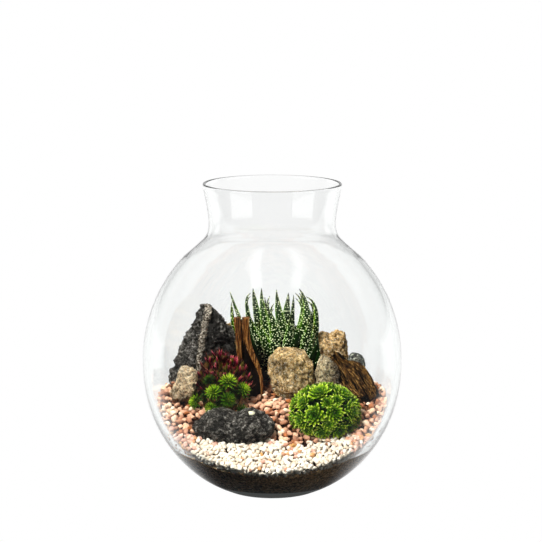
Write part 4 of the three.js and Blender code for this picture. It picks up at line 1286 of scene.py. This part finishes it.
def make_cushion():
    random = np.random.default_rng(23)
    shape = Shape()
    verts, faces = icosphere(5)
    below = verts * CUSHION_HALF * 0.9 + CUSHION_CENTRE
    shape.add(below, faces, tone=0.4, along=0.4)
    # Each head's leaves go from the darkest tone inside to the lightest outside: painted shade in the middle
    # of the head and painted light on its outer leaves
    for compass, rise, size in CUSHION_HEADS:
        spot, out = dome_point(compass, rise, 1.0)
        rosette(shape, spot, out, size * 0.9, 42, random, (0.1, 1.3), 0.5, 0.46, 0.14, 0.28, (0.0, 1.0))
    # Young leaves fill the valleys between the heads
    heads = np.array([dome_point(compass, rise, 0.93)[0] for compass, rise, _ in CUSHION_HEADS])
    for _ in range(VALLEY_LEAVES):
        compass, rise = random.uniform(-180, 180), random.uniform(-28, 85)
        spot, out = dome_point(compass, rise, 0.95)
        if np.linalg.norm(heads - spot, axis=1).min() < VALLEY_MARGIN:
            continue
        away = unit(out + random.normal(scale=0.3, size=3))
        side = unit(np.cross(away, (0.3, 0.5, 0.8)))
        verts, faces, along = leaf(spot, away, side, 0.3, -0.35, random.uniform(4.6, 7.4), 4.0, 1.7)
        shape.add(verts, faces, tone=random.uniform(0.2, 0.7), along=along * 0.8)
    finish = leaf_finish("lime_leaf", LIME_STOPS, LIME_TONES)
    piece("cushion_rosettes", shape, [finish], ["green_cushion"])


# Green heads: x, y, height, size and brightness. Brightness below 1 is painted shade on heads that lie low or
# behind others, and each head's outer leaves get three tenths of it.
GREEN_HEADS = [
    (-41, -16, 108, 9.6, 1.0), (-57, -20, 98, 8.8, 1.0), (-26, -12, 98.5, 8.8, 0.95), (-61, -9, 108, 7, 0.3),
    (-41, -23, 91, 8.6, 0.45), (-75, -16, 87, 8.2, 0.85), (-59, -28, 83, 6.6, 0.75), (-27, -24, 80, 6.4, 0.4),
    (-49, -12, 97, 7, 0.1), (-34, -12, 94, 6.4, 0.1), (-66, -14, 91, 6, 0.15), (-49, -22, 84, 6.5, 0.1),
]
STEM_MATERIAL = 1
# Burgundy heads: columns, rows and depths of the seen ones, two of them moved by a pixel, and the places
# of the hidden ones
RED_HEADS_SEEN = [
    (217.6, 351, 8), (211, 356, 9), (224, 355, 7), (231, 357.5, 6), (238, 360, 6), (243.5, 366, 4),
    (205, 363, 7), (199.5, 371, 4), (218, 362, 3), (226, 365, 2), (233, 368, 1), (211, 368, 2),
    (246, 375, 1), (196, 381, 0), (205, 377, -1), (213, 376, -2), (240, 377, -1), (221, 372, -3),
    (249, 382, -1), (193, 388, -3),
]
RED_HEADS_HIDDEN = [
    (-62, 15, 114), (-46, 16, 118), (-34, 14, 110), (-24, -2, 94), (-70, -4, 90), (-41, -4, 107),
]
HEAD_SINK = 1


def red_heads():
    """Places of the burgundy heads, to a millimetre, a little below where their tips are seen."""
    heads = []
    for column, row, depth in RED_HEADS_SEEN:
        x, _, height = seen(column, row, depth)
        heads.append((round(x), depth, round(height) - HEAD_SINK))
    return heads + RED_HEADS_HIDDEN


def stem(shape, start, end, radius):
    middle = (np.array(start) + np.array(end)) / 2 + (0, 2, -1)
    rows, columns = 8, 7
    line = spline([start, middle, end], rows)
    tangent = unit(np.gradient(line, axis=0))
    first = unit(np.cross(tangent, (0.0, 1.0, 0.1)))
    second = np.cross(tangent, first)
    angle = TAU * np.arange(columns) / columns
    ring = first[:, None] * np.cos(angle)[None, :, None] + second[:, None] * np.sin(angle)[None, :, None]
    rings = line[:, None] + radius * ring
    verts, faces = closed_loft(rings)
    shape.add(verts, faces, finish=STEM_MATERIAL)


# From foot to tip: the near-black foot is painted shade deep in the heads
GREEN_STOPS = [(0.0, "020600"), (0.38, "163002"), (0.62, "64880a"), (0.86, "b4c426"), (1.0, "f4f484")]
GREEN_TONES = [(0.0, "1c3410"), (0.4, "6c9444"), (0.8, "e8f4c4"), (1.0, "ffffff")]
WINE_STOPS = [
    (0.0, "54701a"), (0.2, "5c3c10"), (0.42, "440c16"), (0.72, "8c1e3c"), (0.9, "c25a6c"), (1.0, "e8a47c"),
]
WINE_TONES = [(0.0, "301a14"), (0.4, "78544c"), (0.75, "fff4f0"), (1.0, "ffecd8")]


def make_clumps():
    random = np.random.default_rng(41)
    stem_finish = Finish("plant_stem", 0.7)
    stem_finish.colour(stem_finish.ramp(stem_finish.noise(600.0), [(0.3, "2a1a0e"), (0.7, "5f3d22")]))
    green = Shape()
    for x, y, z, size, painted_head_brightness in GREEN_HEADS:
        head = np.array((x, y, z), float)
        foot = np.array((x * 0.75 - 13, y * 0.6 - 6.4, ground_height(x, y) - 1))
        axis = unit(unit(head - (-47, -6, 88)) + (0, -0.35, 0.5))
        stem(green, foot, head, 1.5)
        rosette(
            green, head - axis * 2, axis, size * 1.06, 54, random, (0.0, 1.75), 0.15, 0.23, 0.12, 0.6,
            (painted_head_brightness, 0.3 * painted_head_brightness))
    leafy = leaf_finish("green_leaf", GREEN_STOPS, GREEN_TONES)
    piece("green_rosettes", green, [leafy, stem_finish.material], ["green_clump"])

    red = Shape()
    centre = np.array((-50.0, 7.0, 95.0))
    for x, y, z in red_heads():
        head = np.array((x, y, z), float)
        axis = unit(unit(head - centre) * 0.7 + (random.normal(scale=0.12), -0.25, 1.0))
        foot = np.array((x * 0.6 - 20, y * 0.6 + 2.8, ground_height(x, y)))
        stem(red, foot, head, 1.6)
        for low, reach, leaves in ((9, 12.5, 11), (14, 10.5, 10), (20, 9.0, 9)):
            phase = random.uniform(0, TAU)
            for k in range(leaves):
                turn = phase + k * GOLDEN_ANGLE
                spoke = unit(np.array((math.cos(turn), math.sin(turn), 0.1)))
                opening = random.uniform(0.15, 0.75)
                length = reach * random.uniform(0.75, 1.1)
                verts, faces, along = leaf(
                    head - axis * low, axis, spoke, opening + 0.3, opening - 0.2, length, 3.2, 1.6, point=1.1)
                kind = random.random()
                tone = random.uniform(0.0, 0.3) if kind < 0.6 else random.uniform(0.6, 1.0)
                red.add(verts, faces, tone=tone, along=along * (0.16 if kind > 0.88 else 1.0))
    wine = leaf_finish("burgundy_leaf", WINE_STOPS, WINE_TONES, 0.3)
    piece("burgundy_rosettes", red, [wine, stem_finish.material], ["red_clump"])




# Leaves in front view. The seen ones are readings. The hidden ones, at their feet, are a depth and then
# x, height and width from the foot to the tip.
HAWORTHIAS = {
    "haworthia_left": [
        seen_leaf(
            54, (229.5, 293.2, 0.5), (231.2, 297.9, 1.6), (234.3, 307, 2.8), (237.6, 315, 3.6),
            (241, 330, 5), (246, 352, 5)),
        seen_leaf(
            58, (231, 303.5, 0.5), (231.2, 312, 2.7), (231.5, 320, 3.1), (233, 329, 3.6), (241, 352, 4)),
        seen_leaf(
            52, (250.5, 294.4, 0.4), (247.2, 297.6, 1.6), (246.2, 304, 3), (247.6, 313, 4.2), (249, 328, 6),
            (252, 350, 6)),
    ],
    "haworthia_centre": [
        seen_leaf(
            46, (252.8, 289.6, 0.5), (253.8, 297, 3.8), (255.3, 306, 6), (257.5, 318, 8.2), (260, 332, 9.5),
            (263, 350, 9)),
        seen_leaf(
            43, (261.5, 289.6, 0.5), (261.5, 297, 2.9), (262.2, 306, 5), (264, 318, 8), (266.5, 332, 10),
            (267, 350, 9)),
        seen_leaf(
            47, (264.7, 298.6, 0.4), (265.5, 305, 2.2), (267.5, 315, 4.2), (270, 328, 6), (268, 350, 7)),
        seen_leaf(
            50, (269.8, 297.3, 0.4), (267.9, 302, 1.4), (268, 309, 2.7), (269, 320, 4.2), (268, 348, 5)),
        seen_leaf(38, (266, 305, 0.5), (269.3, 315, 5.5), (273, 326, 9.5), (275.5, 337, 12), (273, 350, 11)),
        seen_leaf(48, (274, 305, 0.4), (271.6, 309, 1.6), (270.5, 316, 3.2), (271, 332, 4.5)),
        seen_leaf(41, (249, 317, 0.5), (252.5, 328, 5), (257, 338, 8), (262, 352, 9)),
        seen_leaf(37, (258, 321, 0.5), (261.5, 332, 6.5), (265.5, 342, 9.5), (268, 353, 9)),
        (38, [(-11, 108, 8), (-16, 120, 9), (-20, 132, 7), (-22.5, 143, 0.5)]),
        (36, [(-8, 100, 9), (-12, 110, 9), (-16, 122, 7), (-18, 134, 0.5)]),
        (40, [(-14, 100, 9), (-19, 108, 9), (-22, 120, 6), (-22.5, 130, 0.5)]),
    ],
    "haworthia_middle": [
        (36, [(17, 112, 8), (20, 124, 9), (24, 137, 7), (27, 147, 0.5)]),
        seen_leaf(
            44, (276.5, 291, 0.5), (277.2, 300, 3.6), (278.8, 312, 7.5), (281.5, 325, 10.5), (284, 337, 11),
            (284, 352, 9)),
        seen_leaf(
            46, (288.5, 294.2, 0.5), (288.1, 301, 3.7), (287, 311, 6.9), (288, 322, 7.6), (289.5, 335, 8),
            (287, 352, 8)),
        seen_leaf(
            50, (293.8, 296.2, 0.4), (293.5, 305, 2.7), (292.8, 316, 3.9), (292.5, 328, 5), (290, 350, 6)),
        seen_leaf(39, (291, 316, 0.5), (290.5, 327, 5.8), (288.5, 338, 9), (286, 352, 9)),
    ],
    "haworthia_right": [
        seen_leaf(
            43, (299.5, 290.2, 0.5), (303, 296, 2.7), (305.8, 304, 4.8), (306.6, 316, 8.5), (304, 330, 11),
            (300, 350, 10)),
        seen_leaf(
            47, (295.5, 294.3, 0.4), (299.5, 298.5, 1.5), (302.8, 306, 3.6), (302.5, 318, 6), (300, 332, 8),
            (298, 350, 8)),
        seen_leaf(
            44, (306.6, 298, 0.5), (312, 301.6, 2), (315.6, 309.5, 4.1), (316.6, 321, 5.8),
            (315.6, 333, 7.2), (309, 350, 8)),
        seen_leaf(48, (309, 310, 0.4), (311.6, 314, 1.6), (311.5, 324, 3.8), (309, 336, 6), (306, 352, 7)),
        seen_leaf(39, (310, 317, 0.5), (309.3, 328, 6), (306.5, 339, 9.5), (303.5, 354, 9)),
        seen_leaf(40, (315, 325, 0.5), (313.3, 334, 4.5), (311, 343, 6.5), (308, 356, 6)),
        seen_leaf(42, (295.5, 326, 0.5), (296.3, 335, 5), (298, 352, 7.5)),
        (37, [(36, 106, 8), (40, 116, 8.5), (43.5, 128, 6), (44.5, 139, 0.5)]),
        (36, [(38, 98, 8), (42, 107, 8), (45.5, 118, 5.5), (46, 128, 0.5)]),
    ],
}
HAWORTHIA_FEET = {
    "haworthia_left": (-24, 60),
    "haworthia_centre": (-5, 50),
    "haworthia_middle": (12, 54),
    "haworthia_right": (30, 50),
}
BACK_SHRINK = 0.93
# Leaves whose foot is lower than this are shaded ones, in front
SHADED_FOOT = 115
DOT_SIDES = 5
DOT_SPACING = 2.3
# From foot to tip: the near-black foot is painted shade low in the plant
HAWORTHIA_STOPS = [
    (0.0, "010401"), (0.28, "122a02"), (0.48, "568008"), (0.8, "78980e"), (0.93, "6e6a16"), (1.0, "332212"),
]
HAWORTHIA_TONES = [(0.0, "1a300e"), (0.35, "305420"), (0.6, "98b850"), (0.82, "ffff70"), (1.0, "ffff80")]


def dot_template():
    angle = TAU * np.arange(DOT_SIDES) / DOT_SIDES
    ring = np.stack([np.cos(angle), np.sin(angle), np.zeros(DOT_SIDES)], -1)
    verts = np.concatenate([ring, [(0, 0, 0.7), (0, 0, -0.7)]])
    around = np.arange(DOT_SIDES)
    after = (around + 1) % DOT_SIDES
    top = np.stack([around, after, np.full(DOT_SIDES, DOT_SIDES)], -1)
    bottom = np.stack([after, around, np.full(DOT_SIDES, DOT_SIDES + 1)], -1)
    return verts, np.concatenate([top, bottom])


def tall_leaf(shape, points, widths, facing, random, dot, shade, reach=1.0):
    """A keeled leaf through the given points, with rows of raised dots on every side. A shade below 1 darkens
    it and a reach below 1 keeps it near the dark foot of its ramp, both painted shade.
    """
    rows, columns = 46, 14
    line = spline(points, rows)
    lengths = np.concatenate([[0], np.cumsum(np.linalg.norm(np.diff(points, axis=0), axis=1))])
    share = np.linspace(0, 1, rows)
    travelled = np.concatenate([[0], np.cumsum(np.linalg.norm(np.diff(line, axis=0), axis=1))])
    half = np.interp(travelled / travelled[-1], lengths / lengths[-1], widths) / 2
    tangent = unit(np.gradient(line, axis=0))
    across = unit(np.cross(tangent, np.array(facing, float)))
    out = np.cross(across, tangent)
    angle = TAU * np.arange(columns) / columns
    keel = np.where(np.sin(angle) > 0, 0.7, 0.4)
    rings = line[:, None] + half[:, None, None] * (
        np.cos(angle)[None, :, None] * across[:, None] + (np.sin(angle) * keel)[None, :, None] * out[:, None])
    verts, faces = closed_loft(rings)
    edge = np.abs(np.cos(angle)) ** 3
    tone = np.clip(shade * (random.uniform(0.0, 0.3) + 0.7 * edge), 0, 1)
    tones = np.concatenate([np.tile(tone, rows), [0.5, 0.5]])
    shape.add(verts, faces, tone=tones, along=reach * np.concatenate([np.repeat(share, columns), [0, 1]]))

    template, dot_faces = dot
    bands = int(travelled[-1] / DOT_SPACING)
    for band in range(4, bands - 1):
        height = band / bands
        girth = np.interp(height * (rows - 1), np.arange(rows), half) * 4.7
        count = max(2, int(reach ** 2 * girth / DOT_SPACING))
        for k in range(count):
            row = int(np.clip((height + random.uniform(-0.4, 0.4) / bands) * rows, 1, rows - 2))
            turn = TAU * (k + 0.5 * (band % 2) + random.uniform(-0.25, 0.25)) / count
            depth = 0.7 if math.sin(turn) > 0 else 0.4
            place = line[row] + half[row] * (math.cos(turn) * across[row] + math.sin(turn) * depth * out[row])
            normal = unit(math.cos(turn) * depth * across[row] + math.sin(turn) * out[row])
            side = unit(np.cross(tangent[row], normal))
            size = random.uniform(0.42, 0.88) * (1.05 - 0.35 * height)
            frame_axes = np.stack([side * random.uniform(1.0, 1.5), tangent[row], normal * 1.1], -1)
            shape.add((template * size) @ frame_axes.T + place, dot_faces, tone=0.5, finish=1)


def make_haworthias():
    random = np.random.default_rng(59)
    dark = leaf_finish("haworthia_leaf", HAWORTHIA_STOPS, HAWORTHIA_TONES, 0.5, 0.2, 0.0)
    dots = Finish("leaf_dots", 0.5)
    dots.colour(dots.ramp(dots.noise(500.0), [(0.35, "dcf49c"), (0.5, "fcffd4")]))
    template = dot_template()
    for name, leaves in HAWORTHIAS.items():
        x, y = HAWORTHIA_FEET[name]
        foot = np.array((x, y, float(ground_height(x, y)) + 2))
        shape = Shape()
        for depth, profile in leaves:
            profile = np.array(profile)
            first_x, first_height = profile[0, :2]
            low = np.array((0.5 * (x + first_x), 0.5 * (y + depth), 0.5 * (foot[2] + first_height) + 2))
            front = np.stack([profile[:, 0], np.full(len(profile), float(depth)), profile[:, 1]], -1)
            front[-2:, 1] += (0.5, 1.5)
            widths = np.concatenate([[5.0, 0.9 * profile[0, 2]], profile[:, 2]])
            lean = (profile[2, 0] - x) * 0.6
            # Low leaves in front get painted shade: a darker tone and a shorter run up the colour ramp
            shaded = first_height < SHADED_FOOT
            tall_leaf(
                shape, np.concatenate([[foot, low], front]), widths, (lean, -14, 3), random, template,
                0.3 if shaded else 1.0, 0.55 if shaded else 1.0)
            # The back of the plant repeats its front a little lower
            back = (front - foot) * (BACK_SHRINK, -1.15, BACK_SHRINK) + foot
            low = (low - foot) * (1, -1.15, 1) + foot
            tall_leaf(
                shape, np.concatenate([[foot, low], back]), widths, (lean, 14, 3), random, template, 0.8)
        piece(name + "_leaves", shape, [dark, dots.material], [name])


make_glass()
make_soil()
make_gravel()
make_stones()
make_lava()
make_wood()
make_cushion()
make_clumps()
make_haworthias()


# Floor, lights and surroundings

def area_light(name, location, target, size, power):
    data = bpy.data.lights.new(name, "AREA")
    data.shape = "RECTANGLE"
    data.size, data.size_y = size
    data.energy = power
    light = added(name, data)
    light.location = location
    light.rotation_euler = (Vector(target) - Vector(location)).to_track_quat("-Z", "Y").to_euler()
    light.visible_glossy = False
    light.visible_transmission = False


def share_along(tree, way):
    """How far a ray of the surroundings points a given way."""
    place = tree.nodes.new("ShaderNodeTexCoord").outputs["Generated"]
    node = tree.nodes.new("ShaderNodeVectorMath")
    node.operation = "DOT_PRODUCT"
    tree.links.new(place, node.inputs[0])
    node.inputs[1].default_value = Vector(way).normalized()
    return node.outputs["Value"]


def soft_step(tree, value, low, high, bottom=0.0, top=1.0):
    """Goes from the bottom to the top while the value goes from low to high."""
    node = tree.nodes.new("ShaderNodeMapRange")
    node.interpolation_type = "SMOOTHSTEP"
    tree.links.new(value, node.inputs["Value"])
    for name, number in (("From Min", low), ("From Max", high), ("To Min", bottom), ("To Max", top)):
        node.inputs[name].default_value = number
    return node.outputs["Result"]


def band(tree, value, low, high, soft):
    """1 between two limits and 0 outside them, with soft edges."""
    rise = soft_step(tree, value, low - soft, low + soft)
    fall = soft_step(tree, value, high + soft, high - soft)
    return maths(tree, "MULTIPLY", rise, fall)


# A white floor: reflections in the glass meet it dim in front of the vessel and bright behind it

def make_floor():
    mesh = bpy.data.meshes.new("floor")
    mesh.from_pydata([(-30, -30, 0), (30, -30, 0), (30, 30, 0), (-30, 30, 0)], [], [(0, 1, 2, 3)])
    floor = added("floor", mesh)
    finish = Finish("floor_paper", 0.9, Specular_IOR_Level=0.0)
    tree = finish.tree
    finish.colour(rgb("c8c8c8"))
    path = tree.nodes.new("ShaderNodeLightPath")
    mirrored = tree.nodes.new("ShaderNodeEmission")
    split = tree.nodes.new("ShaderNodeSeparateXYZ")
    finish.link(finish.place, split.inputs[0])
    side = finish.math("ABSOLUTE", split.outputs["X"])
    near = finish.math("SUBTRACT", finish.math("MINIMUM", finish.math("MULTIPLY", side, 1.5), 0.18), 0.03)
    sweep = finish.math("SUBTRACT", near, finish.math("MULTIPLY", side, 0.45))
    behind = finish.math("ADD", split.outputs["Y"], sweep)
    bent = finish.math("LESS_THAN", path.outputs["Glossy Depth"], 0.5)
    swept = soft_step(tree, behind, -0.02, 0.12, 0.06, 1.05)
    level = finish.math("MAXIMUM", swept, finish.math("MULTIPLY", bent, 0.9))
    finish.link(level, mirrored.inputs["Strength"])
    plain = tree.nodes.new("ShaderNodeEmission")
    shaders = finish.shader.outputs[0], mirrored.outputs[0]
    by_mirror = mixed_shaders(tree, path.outputs["Is Singular Ray"], *shaders)
    finish.surface(mixed_shaders(tree, path.outputs["Is Camera Ray"], by_mirror, plain.outputs[0]))
    mesh.materials.append(finish.material)


# Two bright cards beside the neck, which only the glass shows

# Light that has crossed the front wall and come back has met more than two faces of the glass
FRONT_FACES = 2.5
CARD_STRENGTH = 1.7
CARD_RADIUS = 0.155
CARD_COMPASS = (46, 100)
CARD_HEIGHTS = (0.2, 0.34)
CARD_COLUMNS = 16


def make_cards():
    finish = Finish("card_light")
    glow = finish.tree.nodes.new("ShaderNodeEmission")
    glow.inputs["Strength"].default_value = CARD_STRENGTH
    path = finish.tree.nodes.new("ShaderNodeLightPath")
    clear = finish.tree.nodes.new("ShaderNodeBsdfTransparent")
    returned = finish.math("GREATER_THAN", path.outputs["Transmission Depth"], FRONT_FACES)
    mirrored = finish.math("GREATER_THAN", path.outputs["Glossy Depth"], 0.5)
    share = finish.math("MULTIPLY", returned, mirrored)
    finish.surface(mixed_shaders(finish.tree, share, clear.outputs[0], glow.outputs[0]))
    for sign, name in ((-1, "card_left"), (1, "card_right")):
        turn = np.radians(np.linspace(*CARD_COMPASS, CARD_COLUMNS))
        x, y = sign * CARD_RADIUS * np.sin(turn), -CARD_RADIUS * np.cos(turn)
        rows = [np.stack([x, y, np.full(CARD_COLUMNS, height)], -1) for height in CARD_HEIGHTS]
        mesh = bpy.data.meshes.new(name)
        mesh.from_pydata(np.concatenate(rows).tolist(), [], grid_faces(2, CARD_COLUMNS, False).tolist())
        mesh.materials.append(finish.material)
        card = added(name, mesh)
        card.visible_camera = card.visible_diffuse = card.visible_shadow = False


# Surroundings: white for the camera, and for the glass a dark room in front with bright panels round it

# The room is dark this way, towards the camera and a little up
FACING = (0, -0.985, 0.17)
# Panels overhead: their limits across, as sideways over upward, and their strength
PANELS = [(-0.33, -0.15, 2.2), (0.28, 0.46, 2.0)]
PANEL_EDGE = 0.03
# Their limits in depth, as forward over upward, and the softness there
PANEL_DEPTH = (-0.15, 0.5, 0.1)
# Least brightness of what is seen through the glass, of light that came back, and of all other light
BENT_LEVEL = 0.75
RETURNED_LEVEL = 0.15
AROUND_LEVEL = 0.2


def make_surroundings():
    world = bpy.data.worlds.new("studio")
    world.use_nodes = True
    bpy.context.scene.world = world
    tree = world.node_tree
    tree.nodes.clear()

    def product(first, second):
        return maths(tree, "MULTIPLY", first, second)

    x, y, z = (share_along(tree, way) for way in ((1, 0, 0), (0, -1, 0), (0, 0, 1)))
    facing = share_along(tree, FACING)
    right, left = soft_step(tree, x, 0.15, 0.55, 1.0, 0.75), soft_step(tree, x, -0.15, -0.55, 1.0, 0.9)
    low_room = product(soft_step(tree, facing, 0.05, -0.7, 0.03, 1.03), product(right, left))
    high_room = product(soft_step(tree, facing, 0.2, -0.45, 0.0, 0.8), soft_step(tree, z, 0.1, 0.5))
    above = maths(tree, "MAXIMUM", z, 0.05)
    across, ahead = maths(tree, "DIVIDE", x, above), maths(tree, "DIVIDE", y, above)
    fields = [low_room, high_room]
    for low, high, strength in PANELS:
        field = product(band(tree, across, low, high, PANEL_EDGE), band(tree, ahead, *PANEL_DEPTH))
        fields.append(product(field, strength))
    fields.append(soft_step(tree, z, 0.5, 0.85, 0.0, 0.55))
    path = tree.nodes.new("ShaderNodeLightPath")
    returned = maths(tree, "GREATER_THAN", path.outputs["Transmission Depth"], FRONT_FACES)
    bent = maths(tree, "LESS_THAN", path.outputs["Glossy Depth"], 0.5)
    fields += [product(returned, RETURNED_LEVEL), product(bent, BENT_LEVEL)]
    level = fields[0]
    for field in fields[1:]:
        level = maths(tree, "MAXIMUM", level, field)
    out = tree.nodes.new("ShaderNodeOutputWorld")
    shown, through, around = (tree.nodes.new("ShaderNodeBackground") for _ in range(3))
    around.inputs["Strength"].default_value = AROUND_LEVEL
    tree.links.new(level, through.inputs["Strength"])
    by_mirror = mixed_shaders(tree, path.outputs["Is Singular Ray"], around.outputs[0], through.outputs[0])
    by_camera = mixed_shaders(tree, path.outputs["Is Camera Ray"], by_mirror, shown.outputs[0])
    tree.links.new(by_camera, out.inputs["Surface"])


make_floor()
make_cards()
make_surroundings()
area_light("key", (-0.7, -0.8, 1.35), (0, 0, 0.1), (0.42, 0.42), 66)
area_light("fill", (1.1, -0.9, 0.8), (0, 0, 0.1), (0.9, 0.9), 6)
area_light("top", (0.1, 0.35, 1.5), (0, 0, 0.1), (1.0, 0.6), 17)
